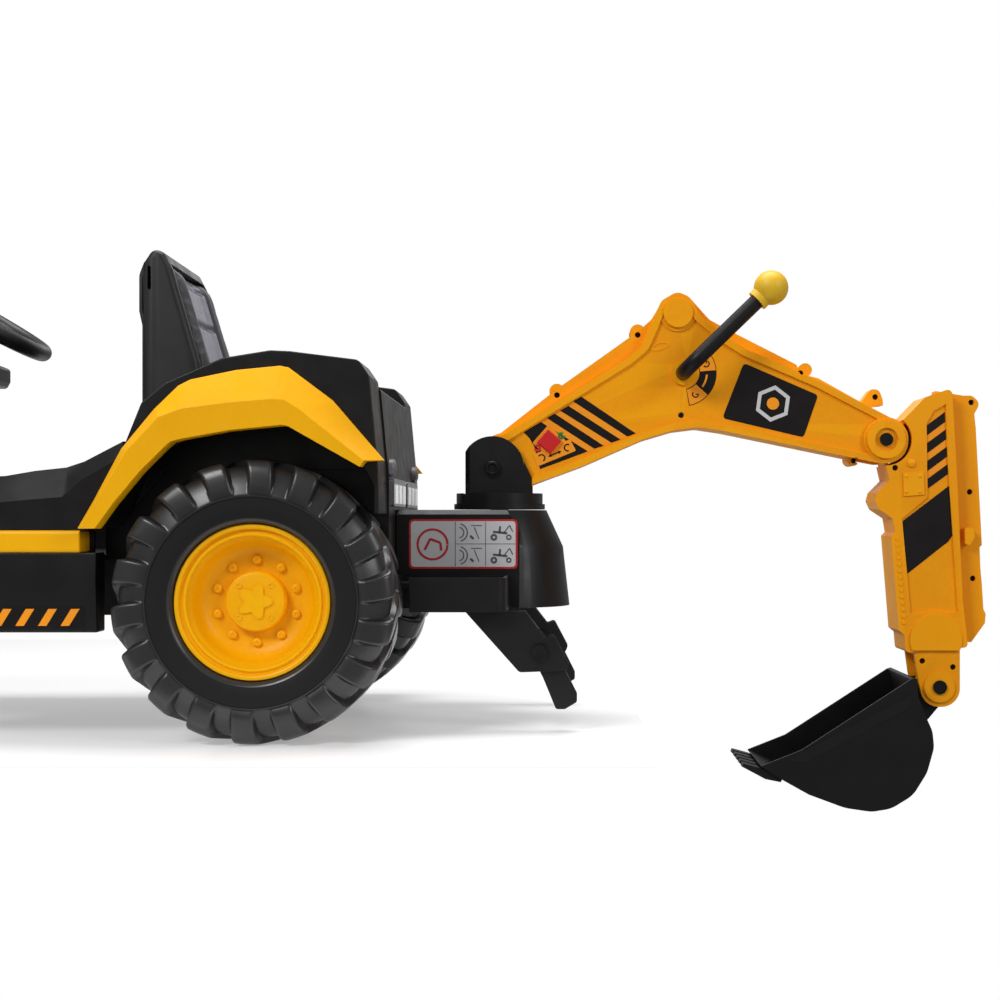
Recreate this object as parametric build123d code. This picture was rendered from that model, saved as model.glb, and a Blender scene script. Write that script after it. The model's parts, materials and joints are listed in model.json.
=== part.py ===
from build123d import *
import os
from math import cos, hypot, pi, radians, sin, tan

os.makedirs("parts", exist_ok=True)

# Ride-on tractor with a rear digger, in millimetres. It faces -X, with +Y on its right-hand side.
# The origin is on the ground, under the middle of the rear axle.

# Rear wheels
REAR_RADIUS = 165
REAR_WIDTH = 120
REAR_TRACK_HALF = 240
REAR_RIM = 91
REAR_LUGS = 36

# Front wheels
FRONT_X = -670
FRONT_RADIUS = 135
FRONT_WIDTH = 90
FRONT_TRACK_HALF = 240
FRONT_RIM = 76
FRONT_LUGS = 30
LUG_DEPTH = 10
NUTS = 10

# Shafts
AXLE_RADIUS = 8
RUNNING_GAP = 0.05
KINGPIN_Y = 175
KINGPIN_RADIUS = 6
STEERING_ARM = 55

# Body
WALL = 5
TUB_HALF = 105
TUB_BOTTOM = 140
TUB_TOP = 212
TUB_FRONT = -830
DECK_HALF = 174
DECK_TOP = 330
FLOOR_TOP = 218
FOOTWELL_FRONT = -490
FOOTWELL_REAR = -190
SIDE_INNER = 225
SIDE_OUTER = 265
FENDER_OUTER = 270
TRIM_OUTER = 300
BAND_BOTTOM = 222
BAND_TOP = 248
REAR_FACE = 146

# Driver's place
DASH_SLOPE = 21.3
SWITCH = (-452, 484)
TRUNNION = 1.5
SEAT_X = -40
SEAT_HALF = 112
CUSHION_HALF = 99
SEAT_SWEEP = 168
WHEEL_CENTRE = (-425, 0, 534)
WHEEL_TILT = 30
WHEEL_RADIUS = 104
WHEEL_TUBE = 11

# Digger
SWIVEL_X = 275
HOUSING_TOP = 273
HOUSING_BOTTOM = 148
BOOM_PIVOT = (267, 327)
STICK_PIVOT = (780, 365)
BUCKET_PIVOT = (850, 42)
LEVER_PIVOT = (516, 452)
ROCKER = (341, 362)
ROCKER_TILT = -41
ARM_HALF = 36
TONGUE_HALF = 23
BUCKET_HALF = 80
SHELL = 4
PIN_RADIUS = 7
SCREW_HOLE = 3.8
FORK_OUTER = 33
FORK_INNER = 25
LUG_OUTER = 24
LUG_INNER = 18
LEG_PIVOT = (330, 97)
LEG_Y = 150


def outline(points):
    """A closed face in the XZ plane. A corner's third number is its rounding radius."""
    corners = [(p[0], p[1], p[2] if len(p) > 2 else 0) for p in points]
    stops = []
    for i, (x, z, radius) in enumerate(corners):
        ahead = corners[(i + 1) % len(corners)]
        before = corners[i - 1]
        if not radius:
            stops.append(((x, z), None, (x, z)))
            continue
        a = Vector(before[0] - x, before[1] - z).normalized()
        b = Vector(ahead[0] - x, ahead[1] - z).normalized()
        half = radians(a.get_angle(b)) / 2
        reach = radius / tan(half)
        middle = (a + b).normalized() * (radius / sin(half) - radius)
        stops.append(((x + a.X * reach, z + a.Y * reach), (x + middle.X, z + middle.Y),
                      (x + b.X * reach, z + b.Y * reach)))
    edges = []
    for i, (start, middle, end) in enumerate(stops):
        if middle:
            edges.append(ThreePointArc(start, middle, end))
        following = stops[(i + 1) % len(stops)][0]
        if hypot(following[0] - end[0], following[1] - end[1]) > 0.01:
            edges.append(Line(end, following))
    return Plane.XZ * make_face(edges)


def prism(face, y0, y1):
    """The face, pushed out from y0 to y1."""
    return extrude(Pos(0, y0, 0) * face, amount=y1 - y0, dir=(0, 1, 0))


def plate(points, y0, y1):
    return prism(outline(points), y0, y1)


def disc(centre, radius, y0, y1):
    """A round bar along Y about a centre in X and Z."""
    bar = Cylinder(radius, y1 - y0, align=(Align.CENTER, Align.CENTER, Align.MIN))
    return Pos(centre[0], y0, centre[1]) * Rot(-90, 0, 0) * bar


def block(x, y, z):
    """A box from its lowest and highest X, Y and Z."""
    return Pos(x[0], y[0], z[0]) * Box(x[1] - x[0], y[1] - y[0], z[1] - z[0],
                                       align=(Align.MIN, Align.MIN, Align.MIN))


def ruled(sections):
    """A solid through closed polygons, with flat or ruled faces between them."""
    wires = [Wire.make_polygon([Vector(*p) for p in section], close=True) for section in sections]
    return Part() + Solid.make_loft(wires, ruled=True)


def flip(shape):
    """The same shape on the other side of the centreline."""
    return mirror(shape, about=Plane.XZ)


def both(shape):
    return Compound(children=list(shape.solids()) + list(flip(shape).solids()))


def spun(points):
    """A ring turned about Z, from radius and height pairs."""
    face = Plane.XZ * make_face(Polyline(points, close=True))
    return revolve(face, Axis.Z)


def save(name, shape):
    shape.label = name
    export_step(shape, f"parts/{name}.step")


# ---------------------------------------------------------------- wheels, built with +Z outwards

def tyre(radius, width, rim, lugs):
    half = width / 2
    tread = radius - LUG_DEPTH
    shoulder = half * 0.8
    body = spun([(rim, -shoulder), (rim + 6, -half * 0.94), (rim + 32, -half), (tread - 10, -half * 0.95),
                 (tread, -shoulder), (tread, shoulder), (tread - 10, half * 0.95), (rim + 32, half),
                 (rim + 6, half * 0.94), (rim, shoulder)])
    body -= spun([(rim - 1, -shoulder + 8), (rim + 20, -half + 9), (tread - 14, -half + 10),
                  (tread - 8, -shoulder + 6),
                  (tread - 8, shoulder - 6), (tread - 14, half - 10), (rim + 20, half - 9), (rim - 1,
                          shoulder - 8)])
    lug_length = 2 * pi * tread / lugs * 0.5
    for i in range(lugs):
        side = 1 if i % 2 else -1
        long = half * (1.02 if i % 4 < 2 else 0.86)
        lug = Box(LUG_DEPTH + 3, lug_length, long, align=(Align.MAX, Align.CENTER, Align.MIN))
        lug = Pos(radius - 0.3, 0, -half * 0.1) * Rot(22, 0, 0) * lug
        lug = lug if side > 0 else mirror(lug, about=Plane.XY)
        body += Rot(0, 0, i * 360 / lugs) * lug
    return body & Cylinder(radius, width)


def rim(radius, width, hub_width):
    half = width / 2
    lip = half - 10
    face = lip - 35
    ring = spun([(radius, -half + 12), (radius, lip), (radius - 7, lip), (radius - 9, lip - 5),
                 (radius - 19, face + 8), (radius - 21, face), (AXLE_RADIUS + RUNNING_GAP, face),
                 (AXLE_RADIUS + RUNNING_GAP, -hub_width), (16, -hub_width), (16, face - 6),
                 (radius - 24, face - 6), (radius - 22, face), (radius - 12, lip - 12),
                 (radius - 6, lip - 12), (radius - 6, -half + 12)])
    for i in range(NUTS):
        nut = Cylinder(5, 6, align=(Align.CENTER, Align.CENTER, Align.MIN))
        ring += Rot(0, 0, i * 360 / NUTS) * Pos(radius * 0.533, 0, face - 1) * nut
    return ring


def hub_cap(radius, width):
    face = width / 2 - 45
    cap = Pos(0, 0, face) * Cylinder(radius, 16, align=(Align.CENTER, Align.CENTER, Align.MIN))
    cap = chamfer(cap.faces().sort_by(Axis.Z)[-1].edges(), 3)
    cap -= Pos(0, 0, face) * Cylinder(AXLE_RADIUS + 4, 6, align=(Align.CENTER, Align.CENTER, Align.MIN))
    star = []
    for i in range(12):
        reach = radius * (0.62 if i % 2 else 0.4)
        star.append((reach * cos(i * pi / 6), reach * sin(i * pi / 6)))
    cap += Pos(0, 0, face + 15) * extrude(make_face(Polyline(star, close=True)), amount=3)
    for i in range(4):
        hole = Pos(radius * 0.8, 0, face + 12) * Cylinder(2, 8)
        cap -= Rot(0, 0, 45 + i * 90) * hole
    return cap


def stand_wheel(shape, x, z, y):
    """Turns a wheel piece so that its outer face looks away from the centreline."""
    return Pos(x, y, z) * Rot(90 if y < 0 else -90, 0, 0) * shape


def make_wheels():
    rear_tyre = tyre(REAR_RADIUS, REAR_WIDTH, REAR_RIM, REAR_LUGS)
    rear_rim = rim(REAR_RIM, REAR_WIDTH, REAR_TRACK_HALF - TUB_HALF - 2)
    rear_cap = hub_cap(35.6, REAR_WIDTH)
    front_tyre = tyre(FRONT_RADIUS, FRONT_WIDTH, FRONT_RIM, FRONT_LUGS)
    front_rim = rim(FRONT_RIM, FRONT_WIDTH, 40)
    for side, y in (("left", -1), ("right", 1)):
        for name, shape in (("tyre", rear_tyre), ("rim", rear_rim), ("hub_cap", rear_cap)):
            save(f"{name}_rear_{side}", stand_wheel(shape, 0, REAR_RADIUS, y * REAR_TRACK_HALF))
        for name, shape in (("tyre", front_tyre), ("rim", front_rim)):
            save(f"{name}_front_{side}", stand_wheel(shape, FRONT_X, FRONT_RADIUS, y * FRONT_TRACK_HALF))


# ---------------------------------------------------------------- chassis and running gear

def make_chassis():
    tub = block((TUB_FRONT, 138), (-TUB_HALF, TUB_HALF), (TUB_BOTTOM, TUB_TOP))
    tub -= block((TUB_FRONT + WALL, 133), (-TUB_HALF + WALL, TUB_HALF - WALL), (TUB_BOTTOM + WALL, TUB_TOP))
    tub -= disc((0, REAR_RADIUS), AXLE_RADIUS + 0.2, -TUB_HALF, TUB_HALF)
    save("chassis_tub", tub)
    axle_end = REAR_TRACK_HALF + REAR_WIDTH / 2 - 43
    save("rear_axle", disc((0, REAR_RADIUS), AXLE_RADIUS, -axle_end, axle_end))
    motor = block((-70, 30), (52, 99), (146, 206))
    motor += Pos(-100, 75.5, 176) * Rot(0, 90, 0) * Cylinder(18, 60)
    motor -= disc((0, REAR_RADIUS), AXLE_RADIUS + 0.2, 52, 99)
    save("gearmotors", both(motor))
    battery = fillet(block((-340, -200), (-48, 48), (146, 206)).edges().filter_by(Axis.Z), 5)
    battery += block((-330, -316), (-34, -20), (206, 211)) + block((-330, -316), (20, 34), (206, 211))
    save("battery", battery)


def make_steering_gear():
    z = FRONT_RADIUS
    beam = block((FRONT_X - 22, FRONT_X + 22), (-155, 155), (116, TUB_BOTTOM))
    for y in (-1, 1):
        web = block((FRONT_X - 15, FRONT_X + 15), (min(y * 147, y * 155), max(y * 147, y * 155)), (104, 166))
        beam += web
        for low in (104, 156):
            lug = Pos(FRONT_X, y * KINGPIN_Y, low) * Cylinder(
                16, 10, align=(Align.CENTER, Align.CENTER, Align.MIN))
            arm = block((FRONT_X - 15, FRONT_X + 15), (min(y * 147, y * KINGPIN_Y),
                    max(y * 147, y * KINGPIN_Y)),
                        (low, low + 10))
            beam += lug + arm
        beam -= Pos(FRONT_X, y * KINGPIN_Y, z) * Cylinder(KINGPIN_RADIUS + RUNNING_GAP, 80)
    save("front_axle_beam", beam)

    barrel = Pos(FRONT_X, KINGPIN_Y, z) * Cylinder(14, 40)
    pin = Pos(FRONT_X, KINGPIN_Y, z) * Cylinder(KINGPIN_RADIUS, 64)
    spindle = disc((FRONT_X, z), AXLE_RADIUS, KINGPIN_Y, FRONT_TRACK_HALF)
    spindle += disc((FRONT_X, z), 12, KINGPIN_Y, KINGPIN_Y + 22)
    end_x = FRONT_X + STEERING_ARM
    arm = block((FRONT_X, end_x), (KINGPIN_Y - 7, KINGPIN_Y + 7), (132, 140))
    arm += Pos(end_x, KINGPIN_Y, 136) * Cylinder(9, 8)
    arm += Pos(end_x, KINGPIN_Y, 126) * Cylinder(4, 14)
    knuckle = barrel + pin + spindle + arm
    save("knuckle_right", knuckle)
    save("knuckle_left", flip(knuckle))

    rod = block((end_x - 6, end_x + 6), (10 - KINGPIN_Y, KINGPIN_Y - 10), (120, 126))
    for y in (-1, 1):
        rod += Pos(end_x, y * KINGPIN_Y, 123) * Cylinder(18, 6)
        rod -= Pos(end_x, y * KINGPIN_Y, 123) * Cylinder(11, 8)
    save("tie_rod", rod)


# ---------------------------------------------------------------- body panels

FENDER = [(-198, 252), (-160, 330), (-133, 397), (-105, 420, 12), (-39, 449, 20), (17, 458, 20),
          (40, 457, 20),
          (120, 447, 10), (133, 428, 8), (143, 320), (144, 267)]
ARCH = [(138, 267), (138, 300), (125, 323), (77, 351), (42, 370), (-25, 365), (-80, 353), (-102, 343),
        (-128, 317), (-158, 281), (-179, 252)]
TRIM_EDGE = [(-205, 250), (-186, 283), (-154, 343), (-116, 389), (-88, 416), (-74, 423), (-21, 434),
             (30, 439),
             (40, 437), (91, 399), (151, 329)]
TRIM_CREASE = [(-197, 250), (-177, 283), (-144, 338), (-107, 378), (-86, 386), (-79, 388), (-26, 395),
               (25, 399),
               (38, 398), (56, 387), (130, 328)]
TRIM_INNER = [(-179, 250), (-158, 279), (-128, 315), (-102, 341), (-92, 350), (-80, 353), (-25, 363),
              (35, 369),
              (42, 368), (51, 363), (125, 321)]


def fender_trim():
    """The left trim: a flat face out to the crease, then a facet that leans in to the fender."""
    lower = []
    upper = []
    for edge, crease, inner in zip(TRIM_EDGE, TRIM_CREASE, TRIM_INNER):
        lower.append([(crease[0], -TRIM_OUTER, crease[1]), (inner[0], -TRIM_OUTER, inner[1]),
                      (inner[0], -FENDER_OUTER, inner[1]), (crease[0], -FENDER_OUTER, crease[1])])
        upper.append([(crease[0], -TRIM_OUTER, crease[1]), (edge[0], -FENDER_OUTER - 8, edge[1]),
                      (edge[0], -FENDER_OUTER, edge[1]), (crease[0], -FENDER_OUTER, crease[1])])
    return ruled(lower) + ruled(upper)


def fender():
    skin = outline(FENDER + ARCH)
    shell = prism(skin, -FENDER_OUTER, -DECK_HALF)
    inside = [(-179, 240), (-146, 318), (-120, 385), (-98, 408), (-38, 440), (18, 449), (38, 448), (115, 438),
              (126, 424), (135, 326), (138, 240)]
    return shell - plate(inside, -FENDER_OUTER + 6, -DECK_HALF - 5)


def side_wall():
    """The left footwell wall, with its top facet leaning in, cut off where the fender starts."""
    stations = [(FOOTWELL_FRONT, 275, 305), (-299, 281, 312), (-264, 284, 318), (-227, 287, 322),
                (-206, 306, 329), (-185, 318, 340), (-160, 333, 353)]
    sections = []
    for x, crease, top in stations:
        sections.append([(x, -SIDE_OUTER, BAND_TOP), (x, -SIDE_OUTER, crease), (x, -SIDE_OUTER + 20, top),
                         (x, -SIDE_INNER, top), (x, -SIDE_INNER, BAND_TOP)])
    behind = plate([(-198, 247), (-198, 252), (-160, 330), (-133, 397), (0, 397), (0, 247)], -300, -200)
    inside = block((FOOTWELL_FRONT + 6, -215), (-SIDE_OUTER + 6, -SIDE_INNER + 1), (BAND_TOP, 274))
    return ruled(sections) - behind - inside


def make_upper_body():
    half = SIDE_INNER
    body = block((FOOTWELL_FRONT, FOOTWELL_REAR - 5), (-half, half), (TUB_TOP, FLOOR_TOP))
    body += block((FOOTWELL_FRONT, FOOTWELL_FRONT + 6), (-half, half), (FLOOR_TOP, 300))
    wall = side_wall() + plate([(FOOTWELL_FRONT, TUB_TOP), (-200, TUB_TOP), (-200, 252), (-178, 300),
                                (-206, 306), (FOOTWELL_FRONT, 300)], -half, -half + 6)
    body += wall + flip(wall)
    section = [(FOOTWELL_REAR - 10, TUB_TOP), (REAR_FACE, TUB_TOP), (REAR_FACE, 312), (136, 420, 6),
               (124, 424, 5), (102, 421, 5), (108, DECK_TOP), (FOOTWELL_REAR - 10, DECK_TOP)]
    inside = [(FOOTWELL_REAR - 5, TUB_TOP - 1), (REAR_FACE - WALL, TUB_TOP - 1), (REAR_FACE - WALL, 311),
              (131, 417),
              (108, 416), (114, DECK_TOP - WALL), (FOOTWELL_REAR - 5, DECK_TOP - WALL)]
    # The turning seat's corners pass through a hollow in the front of the rear panel.
    upright = (Align.CENTER, Align.CENTER, Align.MIN)
    sweep = Pos(SEAT_X, 0, DECK_TOP + 6) * Cylinder(SEAT_SWEEP + 3, 120, align=upright)
    lining = Pos(SEAT_X, 0, DECK_TOP + 6 - WALL) * Cylinder(SEAT_SWEEP + 3 + WALL, 120, align=upright)
    space = plate(inside, -DECK_HALF + WALL, DECK_HALF - WALL) - lining
    body += plate(section, -DECK_HALF, DECK_HALF) - space - sweep
    body -= Pos(SEAT_X, 0, DECK_TOP) * Cylinder(15 + RUNNING_GAP, 30)
    for y0, y1 in ((65, 69.5), (130.5, 135)):
        body += block((-484, -468), (y0, y1), (FLOOR_TOP, 240))
    body -= disc((-476, 230), 4 + RUNNING_GAP, 60, 140)
    save("upper_body", body)


def make_panels():
    left = fender()
    save("fender_left", left)
    save("fender_right", flip(left))
    trim = fender_trim()
    save("fender_trim_left", trim)
    save("fender_trim_right", flip(trim))
    sill = ruled([[(x, -SIDE_INNER, BAND_BOTTOM), (x, -SIDE_OUTER, BAND_BOTTOM), (x, -SIDE_OUTER, 190),
                   (x, -SIDE_OUTER + 7, 128), (x, -SIDE_INNER, 128)] for x in (FOOTWELL_FRONT, -187)])
    sill -= block((FOOTWELL_FRONT + 6, -193), (-SIDE_OUTER + 13, -SIDE_INNER), (134, BAND_BOTTOM - 6))
    save("side_sills", both(sill))
    band = block((FOOTWELL_FRONT, -205), (-SIDE_OUTER - 4, -SIDE_INNER), (BAND_BOTTOM, BAND_TOP))
    save("side_bands", both(chamfer(band.faces().sort_by(Axis.Y)[0].edges().filter_by(Axis.X), 3)))
    lamp = fillet(block((REAR_FACE, REAR_FACE + 6), (12, 170), (277, 311)).edges().filter_by(Axis.X), 6)
    save("tail_lamps", both(lamp))


def hood_section(x, half, top, bottom=TUB_TOP):
    side = top - 38
    return [(x, -half, bottom), (x, -half, side), (x, -half + 32, top), (x, half - 32, top), (x, half, side),
            (x, half, bottom)]


def make_front():
    shapes = [(-490, 105, 470), (-640, 105, 460), (-790, 99, 438), (TUB_FRONT, 90, 405)]
    hood = ruled([hood_section(*s) for s in shapes])
    hood -= ruled([hood_section(x - 0.01 * i, half - WALL, top - WALL, TUB_TOP - 1)
                   for i, (x, half, top) in enumerate(shapes)])
    stack_x = -640
    hood -= Pos(stack_x, -55, 455) * Cylinder(14.2, 60)
    save("hood", hood)
    grille = ruled([hood_section(TUB_FRONT - 12, 86, 398), hood_section(TUB_FRONT, 88, 401)])
    for i in range(6):
        z = 235 + i * 17
        grille -= block((TUB_FRONT - 12, TUB_FRONT), (-58, 58), (z, z + 8))
    save("grille", grille)
    lamp = Pos(TUB_FRONT - 16, 54, 362) * Rot(0, 90, 0) * Cylinder(22, 8)
    save("headlamps", both(fillet(lamp.faces().sort_by(Axis.X)[0].edges(), 3)))
    bumper = block((TUB_FRONT - 30, TUB_FRONT), (-128, 128), (150, 200))
    save("bumper", fillet(bumper.edges().filter_by(Axis.Z), 9))
    stack = Pos(stack_x, -55, 420) * Cylinder(14, 150, align=(Align.CENTER, Align.CENTER, Align.MIN))
    stack += Pos(stack_x, -55, 490) * Cylinder(20, 60, align=(Align.CENTER, Align.CENTER, Align.MIN))
    stack -= Pos(stack_x, -55, 540) * Cylinder(10, 60)
    save("exhaust_stack", stack)


def steering_plane():
    tilt = radians(WHEEL_TILT)
    return Plane(origin=WHEEL_CENTRE, x_dir=(cos(tilt), 0, -sin(tilt)), z_dir=(sin(tilt), 0, cos(tilt)))


def make_dash():
    dash = plate([(-490, 300), (-478, 300), (-440, 443, 4), (-418, 443, 6), (-413, 452, 4), (-413, 470, 5),
                  (-490, 500)], -125, 125)
    dash = fillet(dash.edges().filter_by(
        lambda e: abs(abs(e.center().Y) - 125) < 0.1 and e.center().X > -485), 3)
    dash -= steering_plane() * Pos(0, 0, -120) * Cylinder(9 + RUNNING_GAP, 240)
    slope = radians(DASH_SLOPE)
    pocket = Plane(origin=(SWITCH[0], 80, SWITCH[1]), x_dir=(cos(slope), 0, -sin(slope)),
                   z_dir=(sin(slope), 0, cos(slope)))
    dash -= pocket * Box(28, 20, 20) + disc(SWITCH, TRUNNION + RUNNING_GAP, 68, 92)
    dash -= plate([(-495, 306), (-481, 306), (-446, 449), (-430, 449), (-430, 458), (-436, 458), (-436, 468),
                   (-470, 468), (-470, 484), (-495, 494)], -119, 119)
    save("dashboard", dash)
    cap = pocket * Pos(0, 0, 2) * fillet(Box(22, 16, 18).edges().filter_by(Axis.Y), 2)
    save("direction_switch", cap + disc(SWITCH, TRUNNION, 69, 91))


def make_steering_wheel():
    plane = steering_plane()
    wheel = Torus(WHEEL_RADIUS, WHEEL_TUBE)
    hub = Pos(0, 0, -14) * Cylinder(30, 26, align=(Align.CENTER, Align.CENTER, Align.MIN))
    for angle in (0, 90, 270):
        spoke = Pos(26, 0, -6) * Box(74, 20, 9, align=(Align.MIN, Align.CENTER, Align.CENTER))
        wheel += Rot(0, 0, angle) * spoke
    wheel += hub
    wheel -= Pos(0, 0, 2) * Cylinder(22, 20, align=(Align.CENTER, Align.CENTER, Align.MIN))
    save("steering_wheel", plane * wheel)
    button = Pos(0, 0, 4.5) * Cylinder(21, 9, align=(Align.CENTER, Align.CENTER, Align.MIN))
    save("horn_button", plane * fillet(button.faces().sort_by(Axis.Z)[-1].edges(), 3))
    shaft = Pos(0, 0, -330) * Cylinder(9, 316, align=(Align.CENTER, Align.CENTER, Align.MIN))
    save("steering_shaft", plane * shaft)


def make_pedal():
    pedal = plate([(-480, 226, 2), (-472, 226, 2), (-404, 262, 2), (-408, 270, 2), (-480, 236, 2)], 70, 130)
    pedal += disc((-476, 230), 4, 65, 135)
    save("pedal", pedal)


# ---------------------------------------------------------------- seat

def make_seat():
    base = Pos(SEAT_X, 0, DECK_TOP + 1) * Cylinder(80, 10, align=(Align.CENTER, Align.CENTER, Align.MIN))
    base += Pos(SEAT_X, 0, DECK_TOP - 14) * Cylinder(15, 15, align=(Align.CENTER, Align.CENTER, Align.MIN))
    save("seat_base", base)
    back = [(-179, 525), (-179, 571, 12), (-158, 603, 10), (-145, 598, 8)]
    shell = plate([(-150, 341, 10), (-173, 408, 20), (-173, 506)] + back
                  + [(-134, 577, 20), (-100, 460, 20), (-90, 376, 4), (58, 372, 4),
                     (64, 341, 8)], -SEAT_HALF, SEAT_HALF)
    shell -= plate([(-160, 579, 6), (-126, 588), (-80, 430), (-95, 412, 4), (-122, 412, 4), (-130, 465)],
                   -CUSHION_HALF, CUSHION_HALF)
    shell -= plate([(-144, 335), (-167, 408), (-167, 506), (-173, 526), (-173, 568, 8), (-166, 578),
                    (-136, 464),
                    (-128, 406), (-96, 406), (-90, 370), (52, 366), (56, 335)], -SEAT_HALF + 5, SEAT_HALF - 5)
    shell &= Pos(SEAT_X, 0, DECK_TOP) * Cylinder(SEAT_SWEEP, 600)
    save("seat_shell", shell)
    cushion = plate([(-86, 378), (58, 374), (60, 396, 12), (46, 408, 12), (-80, 410, 6)], -98, 98)
    save("seat_cushion", cushion)
    pad = plate([(-157, 576, 6), (-138, 581, 8), (-128, 566, 12), (-96, 460, 20), (-96, 414, 5),
                 (-120, 414, 5),
                 (-128, 465)], -CUSHION_HALF + 1, CUSHION_HALF - 1)
    save("back_cushion", pad)


# ---------------------------------------------------------------- digger base

def make_digger_base():
    axis = Pos(SWIVEL_X, 0, 0)
    lower = axis * Pos(0, 0, HOUSING_BOTTOM) * Cone(92.6, 84, 77,
            align=(Align.CENTER, Align.CENTER, Align.MIN))
    upper = axis * Pos(0, 0, 225) * Cone(84, 62, HOUSING_TOP - 225,
                                         align=(Align.CENTER, Align.CENTER, Align.MIN))
    front = REAR_FACE + 1
    sides = plate([(front, HOUSING_BOTTOM), (303, HOUSING_BOTTOM), (303, 243), (288, HOUSING_TOP),
                   (front, HOUSING_TOP)],
                  -90, 90)
    sides = chamfer(sides.faces().sort_by(Axis.Z)[-1].edges().filter_by(Axis.X), 6)
    housing = sides + lower + upper
    housing -= plate([(front + 6, HOUSING_BOTTOM - 1), (297, HOUSING_BOTTOM - 1), (297, 241),
                      (284, HOUSING_TOP - 8),
                      (front + 6, HOUSING_TOP - 8)], -84, 84)
    housing -= axis * Pos(0, 0, HOUSING_BOTTOM) * Cone(86, 54, HOUSING_TOP - 8 - HOUSING_BOTTOM,
                                                       align=(Align.CENTER, Align.CENTER, Align.MIN))
    housing -= axis * Pos(0, 0, HOUSING_TOP) * Cylinder(12 + RUNNING_GAP, 40)
    save("digger_housing", housing)
    step = block((151, 290), (93, 190), (HOUSING_BOTTOM, 183))
    step = fillet(step.edges().filter_by(Axis.Z).group_by(Axis.Y)[-1], 12)
    lip = offset(step.faces().sort_by(Axis.Z)[-1], amount=-4)
    step += extrude(step.faces().sort_by(Axis.Z)[-1], amount=7) - Pos(0, 0, -1) * extrude(lip, amount=9)
    step -= block((155, 286), (97, 180), (HOUSING_BOTTOM, 178))
    step -= disc((0, REAR_RADIUS), REAR_RADIUS + 8, DECK_HALF, 200)
    save("foot_platforms", both(step))


def make_stabilisers():
    low = LEG_Y - 15
    high = LEG_Y + 15
    mount = plate([(238, 148), (305, 73, 6), (363, 75, 4), (366, 83, 4), (347, 119, 4), (337, 115, 3),
                   (312, 148)],
                  low, high)
    slot = plate([(306, 112), (320, 124), (352, 130), (400, 110), (400, 20), (296, 20), (306, 88)],
                 low + 5, high - 5)
    mount -= slot
    mount -= disc(LEG_PIVOT, 5.2, low, high)
    save("stabiliser_mounts", both(mount))
    leg = plate([(318, 97, 8), (334, 66), (350, 27, 4), (361, 27, 4), (376, 36, 4), (376, 46, 4), (358, 82),
                 (344, 106, 10),
                 (326, 110, 10)], low + 6, high - 6)
    leg -= disc(LEG_PIVOT, 5 + RUNNING_GAP, low, high)
    save("stabiliser_leg_right", leg)
    save("stabiliser_leg_left", flip(leg))
    bolt = disc(LEG_PIVOT, 5, low - 1, high + 1) + disc(LEG_PIVOT, 10, high, high + 5) + disc(LEG_PIVOT, 8,
            low - 5, low)
    save("stabiliser_bolts", both(bolt))


def make_turntable():
    foot = Pos(SWIVEL_X, 0, HOUSING_TOP + 1) * Cylinder(60, 7, align=(Align.CENTER, Align.CENTER, Align.MIN))
    foot += Pos(SWIVEL_X, 0, HOUSING_TOP - 14) * Cylinder(12, 16,
            align=(Align.CENTER, Align.CENTER, Align.MIN))
    collar = Pos(SWIVEL_X, 0, 280) * Cylinder(57, 15, align=(Align.CENTER, Align.CENTER, Align.MIN))
    cheek = plate([(219, 280), (219, 322, 4), (226, 336), (226, 369, 41), (308, 369, 41), (308, 336),
                   (326, 300, 5),
                   (326, 280)], -43, 43)
    cheek &= Pos(SWIVEL_X, 0, 320) * Cylinder(57, 120)
    cheek -= block((200, 400), (-ARM_HALF - 1, ARM_HALF + 1), (292, 400))
    body = foot + collar + cheek
    body -= disc(BOOM_PIVOT, 50, -ARM_HALF - 1, ARM_HALF + 1)
    body -= disc(BOOM_PIVOT, PIN_RADIUS, -60, 60)
    save("turntable", body)
    bolt = disc(BOOM_PIVOT, PIN_RADIUS, -44, 44) + disc(BOOM_PIVOT, 11, -48, -43) + disc(BOOM_PIVOT, 11, 43,
            48)
    save("boom_pin", bolt)


# ---------------------------------------------------------------- boom, lever and switch

BOOM_BOTTOM = [(809, 380, 22), (809, 336, 28), (776, 334, 10), (728, 343, 60), (676, 353), (622, 365, 60),
               (569, 376, 30),
               (535, 381, 20), (503, 377, 30), (463, 365), (383, 330), (318, 306, 20), (268, 286, 30), (236,
                       300, 20)]
BOOM_SIDE = [(240, 327, 26), (262, 370, 24), (277, 374, 10), (351, 432, 40), (458, 508, 20), (475, 523, 20),
             (489, 547, 15),
             (508, 559, 14), (525, 552, 14), (551, 523, 20), (569, 513, 20), (665, 464), (671, 452), (694,
                     446), (748, 416),
             (783, 396, 8)] + BOOM_BOTTOM
BOOM_RAISED = [(240, 327, 26), (262, 369, 24), (280, 370, 10), (369, 424, 40), (443, 471, 20),
               (463, 488, 20), (474, 513, 20),
               (487, 546, 15), (508, 558, 14), (524, 551, 14), (538, 527, 20), (570, 500, 30), (597, 483,
                       30), (694, 441),
               (783, 395, 8)] + BOOM_BOTTOM
BOOM_FLANGE = 21
BOOM_SCREWS = [(351, 424), (457, 503), (671, 453), (741, 338)]
BEAD = 9
BEAD_HEIGHT = 4


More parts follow.
